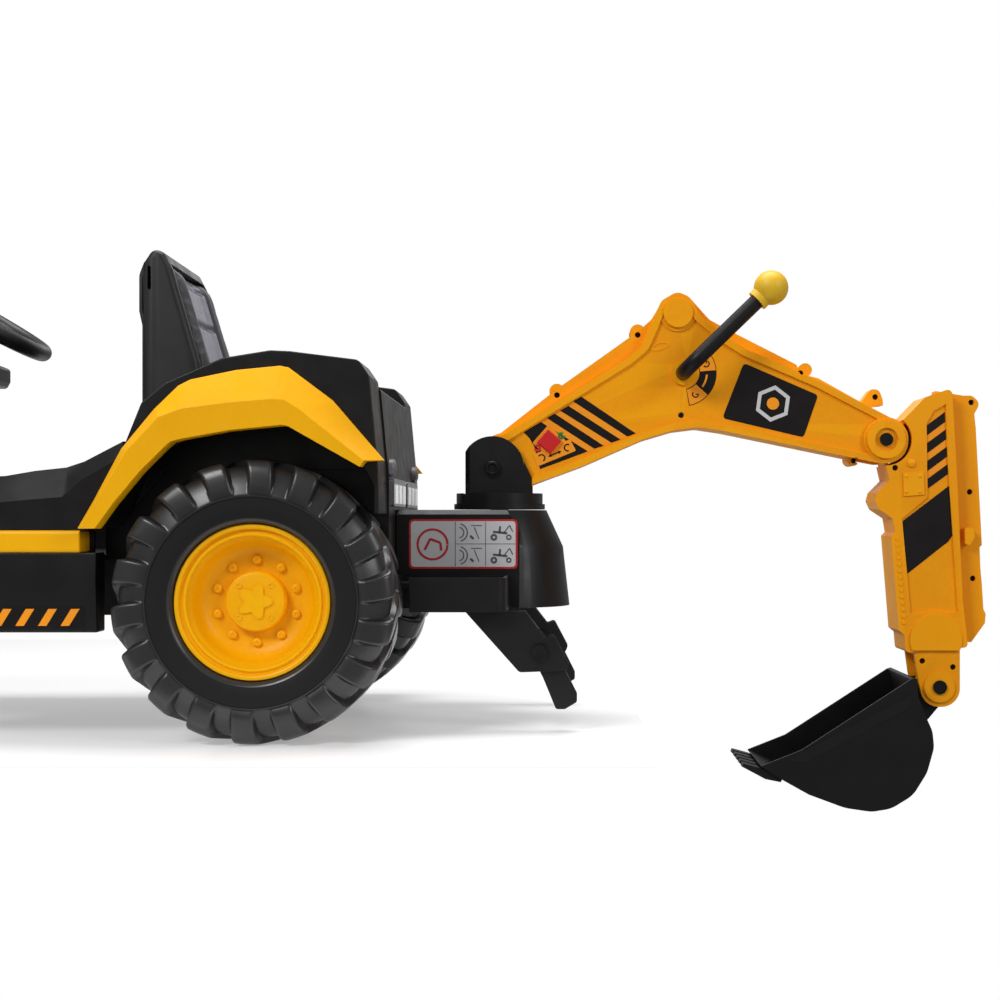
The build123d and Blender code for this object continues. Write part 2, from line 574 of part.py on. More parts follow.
def boom_half():
    """The left half: a screw flange on the centreline, and a raised side with a bead round a sunk panel."""
    side = outline(BOOM_SIDE)
    raised = outline(BOOM_RAISED)
    shell = prism(side, -BOOM_FLANGE, 0) + prism(raised, -ARM_HALF, -5)
    shell -= prism(offset(raised, amount=-BEAD), -ARM_HALF, -ARM_HALF + BEAD_HEIGHT)
    shell -= prism(offset(raised, amount=-7), -ARM_HALF + BEAD_HEIGHT + 4, 0)
    shell += disc((509, 530), 24, -ARM_HALF + 2, -5) + disc((509, 530), 19, -ARM_HALF - 3, -5)
    shell += disc(BOOM_PIVOT, 24, -ARM_HALF, -6) + disc(STICK_PIVOT, 29, -ARM_HALF - 1, -TONGUE_HALF - 1)
    shell += disc(STICK_PIVOT, 25, -ARM_HALF - 5, -ARM_HALF) - disc(STICK_PIVOT, 15, -ARM_HALF - 6,
            -ARM_HALF + 2)
    shell -= disc(STICK_PIVOT, 46, -TONGUE_HALF - 1, 1)
    ears = plate([(746, 408), (764, 432, 5), (775, 432, 8), (780, 418, 6), (781, 394)], -14, 0)
    for x, z, radius in ((351, 429, 10), (457, 507, 10), (677, 457, 9), (740, 339, 8)):
        ears += disc((x, z), radius, -BOOM_FLANGE + 2, 0)
    shell += ears - prism(side, -40, 1) - disc(STICK_PIVOT, 46, -40, 1)
    for screw in BOOM_SCREWS:
        shell -= disc(screw, SCREW_HOLE, -60, 8 - BOOM_FLANGE)
    shell -= disc((513, 397), SCREW_HOLE, -60, BEAD_HEIGHT + 2 - ARM_HALF) + disc((770, 422), SCREW_HOLE,
            -60, -8)
    shell -= disc(BOOM_PIVOT, PIN_RADIUS + RUNNING_GAP, -60, 1)
    shell -= disc(STICK_PIVOT, PIN_RADIUS, -60, 1)
    return shell


def rocker_plane():
    tilt = radians(ROCKER_TILT)
    return Plane(origin=(ROCKER[0], -ARM_HALF + BEAD_HEIGHT, ROCKER[1]), x_dir=(cos(tilt), 0, sin(tilt)),
                 z_dir=(0, -1, 0))


def make_boom():
    half = boom_half()
    left = half + disc(LEVER_PIVOT, 16, -ARM_HALF, -ARM_HALF + BEAD_HEIGHT + 4)
    left -= disc(LEVER_PIVOT, 10 + RUNNING_GAP, -60, -20)
    left -= rocker_plane() * (Box(27, 27, 30) + Pos(0, 0, -2) * Rot(0, 90, 0)
                              * Cylinder(TRUNNION + RUNNING_GAP, 31))
    save("boom_left", left)
    save("boom_right", flip(half))
    face = ARM_HALF + 1
    pin = disc(STICK_PIVOT, PIN_RADIUS, -face - 1, face + 1)
    pin += disc(STICK_PIVOT, 8.5, -face - 4, -face) + disc(STICK_PIVOT, 8.5, face, face + 4)
    save("stick_pin", pin)
    cap = fillet(Box(23, 23, 12).edges().filter_by(Axis.X), 2) + Pos(0, 0, -2) * Rot(0, 90,
            0) * Cylinder(TRUNNION, 29)
    save("rocker_switch", rocker_plane() * cap)


def make_lever():
    y = -85
    x, z = LEVER_PIVOT
    path = FilletPolyline((x, -22, z), (x, y, z), (606, y, 539), radius=24)
    tube = sweep(Plane(path @ 0, z_dir=path % 0) * Circle(10), path)
    save("lever_tube", tube)
    knob = Pos(624, y, 556) * Sphere(22)
    direction = Vector(606 - x, 0, 539 - z).normalized()
    collar = Plane(origin=(606, y, 539), z_dir=direction) * Cylinder(14, 14,
            align=(Align.CENTER, Align.CENTER, Align.MIN))
    save("lever_knob", knob + collar)


# ---------------------------------------------------------------- stick and bucket

STICK_SIDE = [(800, 388), (831, 420, 8), (866, 432, 6), (872, 330), (880, 156), (887, 94, 5), (806, 87, 5),
              (804, 110),
              (797, 116), (794, 156), (787, 239), (792, 244), (789, 262), (771, 274, 5), (766, 285, 5), (769,
                      296, 5),
              (785, 312), (780, 334), (770, 365), (782, 384)]
STICK_SPINE = [(850, 430), (886, 424), (898, 424, 9), (909, 414, 9), (901, 400), (903, 380), (911, 227),
               (908, 224), (909, 198), (911, 175),
               (913, 143), (916, 136, 2), (915, 124, 3), (897, 99), (880, 99), (850, 200)]


STICK_PANEL = [(833, 386), (842, 402), (858, 411), (861, 330), (868, 225), (874, 140), (812, 138),
               (803, 242), (801, 262),
               (834, 290)]


def stick_half():
    """The left half: a sunk side panel, a spine behind it, a tongue for the boom and a fork for the bucket."""
    side = outline(STICK_SIDE)
    shell = prism(side, -ARM_HALF, 0)
    shell -= plate(STICK_PANEL, -ARM_HALF, -ARM_HALF + 3) - disc((845, 104), 38, -ARM_HALF, 0)
    shell -= prism(offset(side, amount=-6), -ARM_HALF + 7, 0)
    shell += disc((845, 104), 34, -ARM_HALF - 2, -ARM_HALF + 4) & plate(
        [(800, 200), (800, 90), (882, 90), (882, 200)], -60, 0)
    shell -= disc(STICK_PIVOT, 34, -ARM_HALF - 1, -TONGUE_HALF + 1)
    shell += plate(STICK_SPINE, -12, 0) - prism(side, -40, 1)
    shell += disc(STICK_PIVOT, 25, -TONGUE_HALF + 1, 0)
    shell += plate([(802, 322), (829, 323), (830, 293), (803, 291)], -ARM_HALF - 2, -ARM_HALF + 1)
    shell += plate([(816, 98), (822, 56), (830, 16, 24), (877, 16, 24), (877, 98)], -FORK_OUTER, 0)
    shell -= plate([(790, 84), (790, 0), (890, 0), (890, 84)], -FORK_INNER, 1)
    shell += disc(BUCKET_PIVOT, 20, -FORK_OUTER - 3, -FORK_INNER)
    for screw in ((897, 415), (895, 297), (899, 183)):
        shell -= disc(screw, SCREW_HOLE, -60, -5)
    for screw in ((828, 76), (868, 68)):
        shell -= disc(screw, SCREW_HOLE, -60, 5 - FORK_OUTER)
    shell -= disc((792, 328), SCREW_HOLE, -60, 5 - ARM_HALF)
    shell -= disc(STICK_PIVOT, PIN_RADIUS + RUNNING_GAP, -60, 1)
    shell -= disc(BUCKET_PIVOT, PIN_RADIUS + RUNNING_GAP, -60, 1)
    return shell


BUCKET_SIDE = [(811, 59, 3), (803, 56, 3), (664, -34), (611, -55, 1), (637, -71, 8), (673, -91),
               (719, -108, 60), (753, -113, 40),
               (778, -109, 40), (806, -92, 40), (824, -63, 40), (833, -31, 30), (831, -10, 30), (822, 10,
                       20), (813, 33)]


def make_stick_and_bucket():
    half = stick_half()
    save("stick_left", half)
    save("stick_right", flip(half))

    bucket = plate(BUCKET_SIDE, -BUCKET_HALF, BUCKET_HALF)
    hollow = [(809, 60), (770, 90), (560, -20), (607, -52), (639, -66, 8), (675, -86), (720, -103, 60),
              (753, -108, 38), (776, -104, 36), (802, -89, 36), (819, -61, 36), (828, -31, 26), (826, -11,
                      26), (817, 9, 16),
              (808, 32), (804, 56)]
    bucket -= plate(hollow, -BUCKET_HALF + SHELL, BUCKET_HALF - SHELL)
    for i in range(5):
        y = -BUCKET_HALF + 16 + i * (2 * BUCKET_HALF - 32) / 4
        tooth = plate([(640, -71), (612, -58), (590, -52), (588, -56), (618, -72), (638, -76)], y - 10, y
                      + 10)
        bucket += tooth
    lug = disc(BUCKET_PIVOT, 20, -LUG_OUTER, -LUG_INNER)
    lug += plate([(809, 50), (832, 52), (862, 28, 8), (828, -12), (809, 20)], -LUG_OUTER, -LUG_INNER)
    lug -= plate(hollow, -LUG_OUTER, 0)
    lug -= disc(BUCKET_PIVOT, PIN_RADIUS, -60, 0)
    bucket += lug + flip(lug)
    save("bucket", bucket)

    bracket = disc(BUCKET_PIVOT, 22, -LUG_INNER, LUG_INNER)
    bracket += plate([(826, 12), (831, -4), (836, 2, 2), (866, 25), (850, 36)], -LUG_INNER, LUG_INNER)
    bracket -= plate(BUCKET_SIDE, -BUCKET_HALF, BUCKET_HALF)
    bracket -= disc(BUCKET_PIVOT, PIN_RADIUS, -60, 60)
    save("bucket_bracket", bracket)
    end = FORK_OUTER + 3
    pin = disc(BUCKET_PIVOT, PIN_RADIUS, -end - 2, end + 2)
    pin += disc(BUCKET_PIVOT, 9, -end - 3, -end) + disc(BUCKET_PIVOT, 9, end, end + 3)
    save("bucket_pin", pin)


make_wheels()
make_chassis()
make_steering_gear()
make_upper_body()
make_panels()
make_front()
make_dash()
make_steering_wheel()
make_pedal()
make_seat()
make_digger_base()
make_stabilisers()
make_turntable()
make_boom()
make_lever()
make_stick_and_bucket()
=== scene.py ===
"""The looks of a ride-on tractor with a rear digger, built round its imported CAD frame."""
import json
from math import cos, exp, pi, radians, sin

import bmesh
import bpy
from mathutils import Matrix, Vector


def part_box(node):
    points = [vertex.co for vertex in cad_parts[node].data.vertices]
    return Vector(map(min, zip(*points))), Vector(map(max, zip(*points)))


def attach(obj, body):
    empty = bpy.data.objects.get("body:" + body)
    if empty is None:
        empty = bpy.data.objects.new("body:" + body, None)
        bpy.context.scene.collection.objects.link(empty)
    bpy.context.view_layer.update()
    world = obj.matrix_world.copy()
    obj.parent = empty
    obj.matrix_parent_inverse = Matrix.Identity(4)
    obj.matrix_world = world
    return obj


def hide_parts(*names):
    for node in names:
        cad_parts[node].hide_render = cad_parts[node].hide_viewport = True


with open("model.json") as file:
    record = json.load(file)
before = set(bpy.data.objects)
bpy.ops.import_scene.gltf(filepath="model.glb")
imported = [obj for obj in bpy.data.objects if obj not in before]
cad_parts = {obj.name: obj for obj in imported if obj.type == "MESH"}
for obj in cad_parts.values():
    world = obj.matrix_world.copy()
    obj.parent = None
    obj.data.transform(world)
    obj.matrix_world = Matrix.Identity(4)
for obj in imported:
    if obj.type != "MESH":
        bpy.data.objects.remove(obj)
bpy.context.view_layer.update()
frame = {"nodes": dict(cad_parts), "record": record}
NODE_SLOT = {row["node"]: row["material_slot"] for row in frame["record"]["subparts"]}
NODE_BODY = {n: b for b, nodes in frame["record"]["behaviour"]["bodies"].items() for n in nodes}
MM = 0.001


# ------------------------------------------------------------------ materials

class Nodes:
    """A short way to build a node tree."""

    def __init__(self, material):
        self.tree = material.node_tree
        self.shader = self.tree.nodes["Principled BSDF"]
        self.where = self.add("ShaderNodeTexCoord").outputs["Object"]

    def add(self, kind, **values):
        node = self.tree.nodes.new(kind)
        for key, value in values.items():
            if key in node.inputs:
                node.inputs[key].default_value = value
            else:
                setattr(node, key, value)
        return node

    def link(self, out, into):
        self.tree.links.new(out, into)

    def noise(self, scale, detail=3.0, roughness=0.5):
        node = self.add("ShaderNodeTexNoise")
        node.inputs["Scale"].default_value = scale
        node.inputs["Detail"].default_value = detail
        node.inputs["Roughness"].default_value = roughness
        self.link(self.where, node.inputs["Vector"])
        return node.outputs["Fac"]

    def span(self, value, low, high, start=0.3, end=0.7):
        node = self.add("ShaderNodeMapRange")
        node.inputs["From Min"].default_value = start
        node.inputs["From Max"].default_value = end
        node.inputs["To Min"].default_value = low
        node.inputs["To Max"].default_value = high
        self.link(value, node.inputs["Value"])
        return node.outputs["Result"]

    def mix(self, factor, low, high, mode="MIX"):
        node = self.add("ShaderNodeMix", data_type="RGBA", blend_type=mode)
        for name, value in (("Factor", factor), ("A", low), ("B", high)):
            sockets = [s for s in node.inputs if s.name == name and s.enabled]
            socket = sockets[0]
            if hasattr(value, "links"):
                self.link(value, socket)
            elif name == "Factor":
                socket.default_value = value
            else:
                socket.default_value = (*value, 1)
        return [s for s in node.outputs if s.enabled][0]

    def bump(self, height, strength, distance, after=None):
        node = self.add("ShaderNodeBump")
        node.inputs["Strength"].default_value = strength
        node.inputs["Distance"].default_value = distance
        self.link(height, node.inputs["Height"])
        if after:
            self.link(after, node.inputs["Normal"])
        return node.outputs["Normal"]


def new_material(name):
    """An empty material and the helper that fills it."""
    material = bpy.data.materials.new(name)
    material.use_nodes = True
    return material, Nodes(material)


def shade(color, factor):
    """The colour made darker or paler."""
    return tuple(min(1.0, c * factor) for c in color)


def plastic(name, color, roughness, grain=1500, grain_depth=0.00005, edge_highlight=1.5, coat=0.0, shine=0.5):
    """Moulded plastic: slow colour drift, fine grain, a soft sheen and a painted highlight that makes convex
    edges paler.
    """
    material, n = new_material(name)
    drift = n.mix(n.span(n.noise(9, 2), 0, 1), shade(color, 0.93), shade(color, 1.05))
    fine = n.mix(n.span(n.noise(160, 4), 0, 0.5), drift, shade(color, 0.9))
    # Painted highlight: convex edges, found by pointiness, are mixed towards a paler copy of the colour, as if
    # light caught the bevels.
    edge = n.add("ShaderNodeNewGeometry").outputs["Pointiness"]
    highlighted = n.mix(n.span(edge, 0, 0.6, 0.515, 0.57), fine, shade(color, edge_highlight))
    n.link(highlighted, n.shader.inputs["Base Color"])
    n.link(n.span(n.noise(35, 4), roughness - 0.05, roughness + 0.07), n.shader.inputs["Roughness"])
    n.shader.inputs["Coat Weight"].default_value = coat
    n.shader.inputs["Coat Roughness"].default_value = 0.25
    n.shader.inputs["Specular IOR Level"].default_value = shine
    soft = n.bump(n.noise(40, 2), 0.12, 0.0006)
    n.link(n.bump(n.noise(grain, 2), 0.35, grain_depth, soft), n.shader.inputs["Normal"])
    return material


def clear_lens(name):
    """Clear plastic, slightly frosted."""
    material, n = new_material(name)
    n.shader.inputs["Base Color"].default_value = (0.93, 0.94, 0.96, 1)
    n.shader.inputs["Transmission Weight"].default_value = 0.85
    n.link(n.span(n.noise(60), 0.08, 0.2), n.shader.inputs["Roughness"])
    n.shader.inputs["IOR"].default_value = 1.45
    return material


def steel(name, color):
    """Dark coated steel with fine grain."""
    material, n = new_material(name)
    n.shader.inputs["Base Color"].default_value = (*color, 1)
    n.shader.inputs["Metallic"].default_value = 0.7
    n.link(n.span(n.noise(120, 5), 0.3, 0.5), n.shader.inputs["Roughness"])
    n.link(n.bump(n.noise(900), 0.2, 0.00005), n.shader.inputs["Normal"])
    return material


def quilted(name, color):
    """Imitation leather: fine pebbling and a gentle sheen."""
    material, n = new_material(name)
    cells = n.add("ShaderNodeTexVoronoi", feature="DISTANCE_TO_EDGE")
    cells.inputs["Scale"].default_value = 700
    n.link(n.where, cells.inputs["Vector"])
    base = n.mix(n.span(n.noise(14, 3), 0, 1), shade(color, 0.9), shade(color, 1.1))
    n.link(n.mix(n.span(cells.outputs["Distance"], 0.5, 0, 0, 0.25), base, shade(color, 0.75)),
           n.shader.inputs["Base Color"])
    n.link(n.span(n.noise(80), 0.42, 0.58), n.shader.inputs["Roughness"])
    n.shader.inputs["Sheen Weight"].default_value = 0.2
    wrinkle = n.bump(n.noise(55, 4), 0.2, 0.0008)
    n.link(n.bump(cells.outputs["Distance"], 0.3, 0.0002, wrinkle), n.shader.inputs["Normal"])
    return material


def glow(shader, strength):
    """A faint white light from the surface itself."""
    shader.inputs["Emission Color"].default_value = (1, 1, 1, 1)
    shader.inputs["Emission Strength"].default_value = strength


YELLOW = (1.0, 0.46, 0.0003)
ORANGE_YELLOW = (0.94, 0.35, 0.0002)
BLACK = (0.0045, 0.004, 0.0042)
MATERIALS = {
    "black_body": plastic("black_body_plastic", BLACK, 0.36, edge_highlight=2.2, shine=0.32),
    "yellow_body": plastic("yellow_body_plastic", YELLOW, 0.4, edge_highlight=1.12, shine=0.2),
    "yellow_digger": plastic("yellow_digger_plastic", ORANGE_YELLOW, 0.42, edge_highlight=1.2, shine=0.22),
    "black_parts": plastic("black_parts_plastic", (0.005, 0.005, 0.005), 0.42, grain=900, edge_highlight=2.2,
                           shine=0.25),
    "tyre_black": plastic("tyre_plastic", (0.016, 0.016, 0.017), 0.33, grain=700, edge_highlight=1.8, shine=0.6),
    "seat_black": plastic("seat_shell_plastic", (0.015, 0.015, 0.016), 0.42, grain=800, edge_highlight=2.0, shine=0.32),
    "wheel_grip": plastic("wheel_grip_plastic", (0.012, 0.012, 0.012), 0.4, grain=1100, edge_highlight=1.8),
    "seat_fabric": quilted("seat_leather", (0.13, 0.125, 0.17)),
    "clear_lens": clear_lens("clear_lamp_lens"),
    "knob_yellow": plastic("knob_yellow_plastic", (0.78, 0.47, 0.01), 0.45, edge_highlight=1.1),
    "switch_red": plastic("switch_red_plastic", (0.6, 0.006, 0.008), 0.3, edge_highlight=1.2, coat=0.3),
    "steel": steel("black_steel", (0.03, 0.03, 0.03)),
    "black_bolt": steel("black_bolt_steel", (0.012, 0.012, 0.012)),
}


SIDEWALL = plastic("tyre_sidewall_plastic", (0.011, 0.011, 0.012), 0.62, grain=900, edge_highlight=1.3, shine=0.2)
BOLSTER = quilted("seat_bolster_leather", (0.03, 0.029, 0.036))
DECAL_ORANGE = plastic("decal_orange", (0.98, 0.33, 0.012), 0.35, grain=300, edge_highlight=1.0, shine=0.3)
DECAL_BLACK = plastic("decal_black", (0.008, 0.006, 0.006), 0.35, grain=300, edge_highlight=1.0, shine=0.25)
DECAL_RED = plastic("decal_red", (0.55, 0.012, 0.015), 0.3, grain=300, edge_highlight=1.0, coat=0.2)
SIGNAL = plastic("decal_signal_red", (0.75, 0.01, 0.02), 0.3, grain=300, edge_highlight=1.0, coat=0.2)
DECAL_GREEN = plastic("decal_green", (0.0, 0.22, 0.04), 0.3, grain=300, edge_highlight=1.0, coat=0.2)
DECAL_PALE = plastic("decal_pale", (0.62, 0.62, 0.64), 0.3, grain=300, edge_highlight=1.0, coat=0.2)
DECAL_GREY = plastic("decal_grey", (0.09, 0.09, 0.1), 0.35, grain=300, edge_highlight=1.0)
LAMP_WHITE = plastic("lamp_reflector", (0.86, 0.87, 0.9), 0.18, grain=400, edge_highlight=1.0, coat=0.4)
# Painted light: a faint glow makes the white reflector bars brighter than the scene's lights alone would.
glow(LAMP_WHITE.node_tree.nodes["Principled BSDF"], 0.25)
GREY_PLASTIC = plastic("grey_boss_plastic", (0.16, 0.15, 0.17), 0.35, edge_highlight=1.3)
# Painted shade: a matte, near-black plate stands in for the dark inside of the seat's side slots.
SLOT_SHADE = plastic("slot_painted_shade", (0.001, 0.001, 0.001), 0.9, edge_highlight=1.0, shine=0.0)
THREAD = plastic("stitch_thread", (0.1, 0.1, 0.13), 0.7, grain=2500, edge_highlight=1.0)


# ------------------------------------------------------------------ making pieces

def shade_smooth(mesh, angle):
    """Smooth shading, but for edges that turn by more than the angle in degrees."""
    mesh.polygons.foreach_set("use_smooth", [True] * len(mesh.polygons))
    mesh.set_sharp_from_angle(angle=radians(angle))


def add_mesh(name, bm, body, slot, material=None, smooth=40):
    """Turns a bmesh into a piece that rides on a body, with smooth shading up to an angle in degrees."""
    bmesh.ops.recalc_face_normals(bm, faces=bm.faces)
    mesh = bpy.data.meshes.new(name)
    bm.to_mesh(mesh)
    bm.free()
    shade_smooth(mesh, smooth)
    piece = bpy.data.objects.new(name, mesh)
    bpy.context.scene.collection.objects.link(piece)
    mesh.materials.append(material or MATERIALS[slot])
    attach(piece, body)
    return piece


def apply_modifiers(piece):
    """Makes what the modifiers give into the piece's own mesh."""
    graph = bpy.context.evaluated_depsgraph_get()
    mesh = bpy.data.meshes.new_from_object(piece.evaluated_get(graph))
    piece.modifiers.clear()
    piece.data = mesh


def joined_mesh(node):
    """The node's mesh, with the points along its edges joined."""
    bm = bmesh.new()
    bm.from_mesh(frame["nodes"][node].data)
    bmesh.ops.remove_doubles(bm, verts=bm.verts, dist=0.02 * MM)
    return bm


def whole_faces(node):
    """The node's joined mesh, with each flat face in one piece."""
    bm = joined_mesh(node)
    bmesh.ops.dissolve_limit(bm, angle_limit=radians(1.5), verts=bm.verts, edges=bm.edges)
    return bm


EDGE_STEPS = 2
SHARP_FROM = 28


def soften(node, width):
    """A copy of a CAD node with its edges rounded by a width in mm, in place of the node."""
    bm = whole_faces(node)
    piece = add_mesh(node + "_moulded", bm, NODE_BODY[node], NODE_SLOT[node])
    bevel = piece.modifiers.new("round", "BEVEL")
    bevel.width = width * MM
    bevel.segments = EDGE_STEPS
    bevel.limit_method = "ANGLE"
    bevel.angle_limit = radians(SHARP_FROM)
    bevel.use_clamp_overlap = True
    bevel.miter_outer = "MITER_ARC"
    apply_modifiers(piece)
    shade_smooth(piece.data, 50)
    normal = piece.modifiers.new("even", "WEIGHTED_NORMAL")
    normal.keep_sharp = True
    apply_modifiers(piece)
    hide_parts(node)


def round_seat_shell(width=8):
    """The seat's shell with its outer side edges well rounded, in place of its CAD node."""
    node = "seat_shell"
    low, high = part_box(node)
    bm = whole_faces(node)
    weights = bm.edges.layers.float.new("bevel_weight_edge")
    for edge in bm.edges:
        on_side = all(abs(v.co.y) > high[1] - 0.5 * MM for v in edge.verts)
        above_rim = all(v.co.z > low[2] + 12 * MM for v in edge.verts)
        if on_side and above_rim and edge.calc_face_angle(0) > radians(30):
            edge[weights] = 1
    piece = add_mesh("seat_shell_rounded", bm, NODE_BODY[node], NODE_SLOT[node])
    bevel = piece.modifiers.new("round", "BEVEL")
    bevel.width = width * MM
    bevel.segments = 6
    bevel.limit_method = "WEIGHT"
    bevel.use_clamp_overlap = False
    apply_modifiers(piece)
    shade_smooth(piece.data, 40)
    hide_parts(node)


def keep(node):
    """Leaves a CAD node showing, with its slot's material."""
    data = frame["nodes"][node].data
    data.materials.clear()
    data.materials.append(MATERIALS[NODE_SLOT[node]])


SOFTENED = {
    "upper_body": 2.0, "fender_left": 2.5, "fender_right": 2.5,
    "fender_trim_left": 3.0, "fender_trim_right": 3.0,
    "side_sills": 2.0, "side_bands": 2.0, "hood": 3.0, "grille": 1.0, "bumper": 3.0, "dashboard": 2.0,
    "digger_housing": 2.0, "foot_platforms": 1.5, "stabiliser_mounts": 1.5, "stabiliser_leg_left": 1.5,
    "stabiliser_leg_right": 1.5, "turntable": 2.0, "boom_left": 1.6, "boom_right": 1.6, "stick_left": 1.5,
    "stick_right": 1.5, "bucket": 1.2, "bucket_bracket": 1.2, "pedal": 1.0,
    "exhaust_stack": 1.5, "battery": 2.0, "rocker_switch": 1.2,
}


# ------------------------------------------------------------------ turned and flat pieces

LEFT = (-1,)
BOTH = (-1, 1)
# Thickness of the stickers' film, in mm.
THIN_FILM = 0.3
FILM = 0.4


def lathe(bm, origin, axis, profile, segments=48, closed=False):
    """Adds a turned shape: radius and height pairs in metres, up the axis from the origin."""
    axis = Vector(axis).normalized()
    across = axis.orthogonal().normalized()
    beside = axis.cross(across)
    rows = []
    for radius, height in profile:
        middle = Vector(origin) + axis * height
        if radius < 1e-6:
            rows.append([bm.verts.new(middle)])
            continue
        rows.append([bm.verts.new(middle + (across * cos(2 * pi * i / segments)
                                            + beside * sin(2 * pi * i / segments)) * radius)
                     for i in range(segments)])
    pairs = list(zip(rows, rows[1:])) + ([(rows[-1], rows[0])] if closed else [])
    for low, high in pairs:
        for i in range(segments):
            ring = [low[i % len(low)], low[(i + 1) % len(low)], high[(i + 1) % len(high)],
                    high[i % len(high)]]
            unique = list(dict.fromkeys(ring))
            if len(unique) > 2:
                bm.faces.new(unique)


def scaled(pairs, radial=MM, deep=MM):
    """A profile in mm, in metres or at another scale."""
    return [(radius * radial, height * deep) for radius, height in pairs]


def rounded(points, radius, steps=5):
    """The polygon with its corners rounded, in the units of the points."""
    result = []
    for i, point in enumerate(points):
        corner = Vector(point)
        before = (Vector(points[i - 1]) - corner).normalized()
        after = (Vector(points[(i + 1) % len(points)]) - corner).normalized()
        half = before.angle(after) / 2
        reach = radius / max(0.2, abs(sin(half) / cos(half)))
        start = corner + before * reach
        end = corner + after * reach
        for k in range(steps + 1):
            t = k / steps
            result.append(tuple(start * (1 - t) ** 2 + corner * 2 * t * (1 - t) + end * t ** 2))
    return result


def prism(bm, points, depth, thickness):
    """Adds a flat plate of X and Z pairs in mm. Its outer face lies at the depth: a Y in mm, or a function
    of X and Z."""
    place = depth if callable(depth) else lambda x, z: depth
    outer = [bm.verts.new((x * MM, place(x, z) * MM, z * MM)) for x, z in points]
    inner = [bm.verts.new((x * MM, (place(x, z) + thickness) * MM, z * MM)) for x, z in points]
    bm.faces.new(outer)
    bm.faces.new(list(reversed(inner)))
    for i in range(len(outer)):
        j = (i + 1) % len(outer)
        bm.faces.new((outer[j], outer[i], inner[i], inner[j]))


def paired_plates(bm, points, depth, thickness):
    """Adds the same plate on the left and on the right."""
    for side in BOTH:
        before = len(bm.verts)
        prism(bm, points, depth, thickness)
        bm.verts.ensure_lookup_table()
        if side > 0:
            for vertex in bm.verts[before:]:
                vertex.co.y *= -1


def arc(centre, radius, start, end, steps=10):
    """Points on a circle, with its angles in degrees."""
    angles = [radians(start + (end - start) * k / steps) for k in range(steps + 1)]
    return [(centre[0] + radius * cos(a), centre[1] + radius * sin(a)) for a in angles]


def band(centre, inner, outer, start, end, steps=14):
    """A part of a ring, between two radii and two angles in degrees."""
    return arc(centre, outer, start, end, steps) + arc(centre, inner, end, start, steps)


def stroke(a, b, width):
    """A straight bar from one point to another."""
    along = (Vector(b) - Vector(a)).normalized()
    side = Vector((-along.y, along.x)) * width / 2
    return [tuple(Vector(a) + side), tuple(Vector(b) + side), tuple(Vector(b) - side),
            tuple(Vector(a) - side)]


def sticker(name, body, slot, material, shapes, depth, thickness=THIN_FILM, sides=LEFT):
    """Thin film on a side face: a list of outlines, on the left (-1), the right (1) or both."""
    for side in sides:
        bm = bmesh.new()
        for points in shapes:
            prism(bm, points, depth, thickness)
        if side > 0:
            bmesh.ops.scale(bm, vec=(1, -1, 1), verts=bm.verts)
        label = name + ("_left" if side < 0 else "_right")
        add_mesh(label, bm, body, slot, material, smooth=20)


# ------------------------------------------------------------------ wheels

LUG_SHAPE = (0,) * 11 + (0.35, 0.9) + (1,) * 13 + (0.9, 0.35)
LUG_STEPS = len(LUG_SHAPE)
# From the bead to the middle of the tread: the lug's height and depth, the gap's height and depth,
# how far the lug has risen, and how far it has turned round the tyre, in lugs.
TREAD = [
    (0.0, 0.80, 0.0, 0.80, 0, 0), (0.03, 0.92, 0.03, 0.92, 0, 0), (0.09, 0.965, 0.09, 0.965, 0, 0),
    (0.25, 0.98, 0.25, 0.98, 0, 0), (0.415, 0.98, 0.415, 0.98, 0, 0), (0.42, 1.0, 0.42, 1.0, 0, 0),
    (0.436, 1.005, 0.436, 1.005, 0, 0), (0.45, 0.975, 0.45, 0.97, 0, 0), (0.47, 0.985, 0.47, 0.965, 0.5, 0),
    (0.51, 1.0, 0.50, 0.95, 1, 0), (0.59, 0.998, 0.57, 0.915, 1, 0), (0.67, 0.99, 0.64, 0.88, 1, 0.005),
    (0.78, 0.97, 0.72, 0.83, 1, 0.02), (0.87, 0.94, 0.79, 0.78, 1, 0.04), (0.94, 0.895, 0.85, 0.72, 1, 0.06),
    (0.982, 0.83, 0.89, 0.65, 1, 0.09), (0.997, 0.73, 0.905, 0.58, 1, 0.14), (1.0, 0.5, 0.91, 0.45, 1, 0.27),
    (1.0, 0.3, 0.91, 0.3, 1, 0.42), (1.0, 0.12, 0.91, 0.12, 1, 0.55), (0.997, 0.03, 0.915, 0.03, 1, 0.6),
    (0.992, 0.0, 0.925, 0.0, 1, 0.61),
]
LAST_TURN = TREAD[-1][-1]
SIDEWALL_ROWS = (2, 4)
FIRST_LUG = radians(-8)


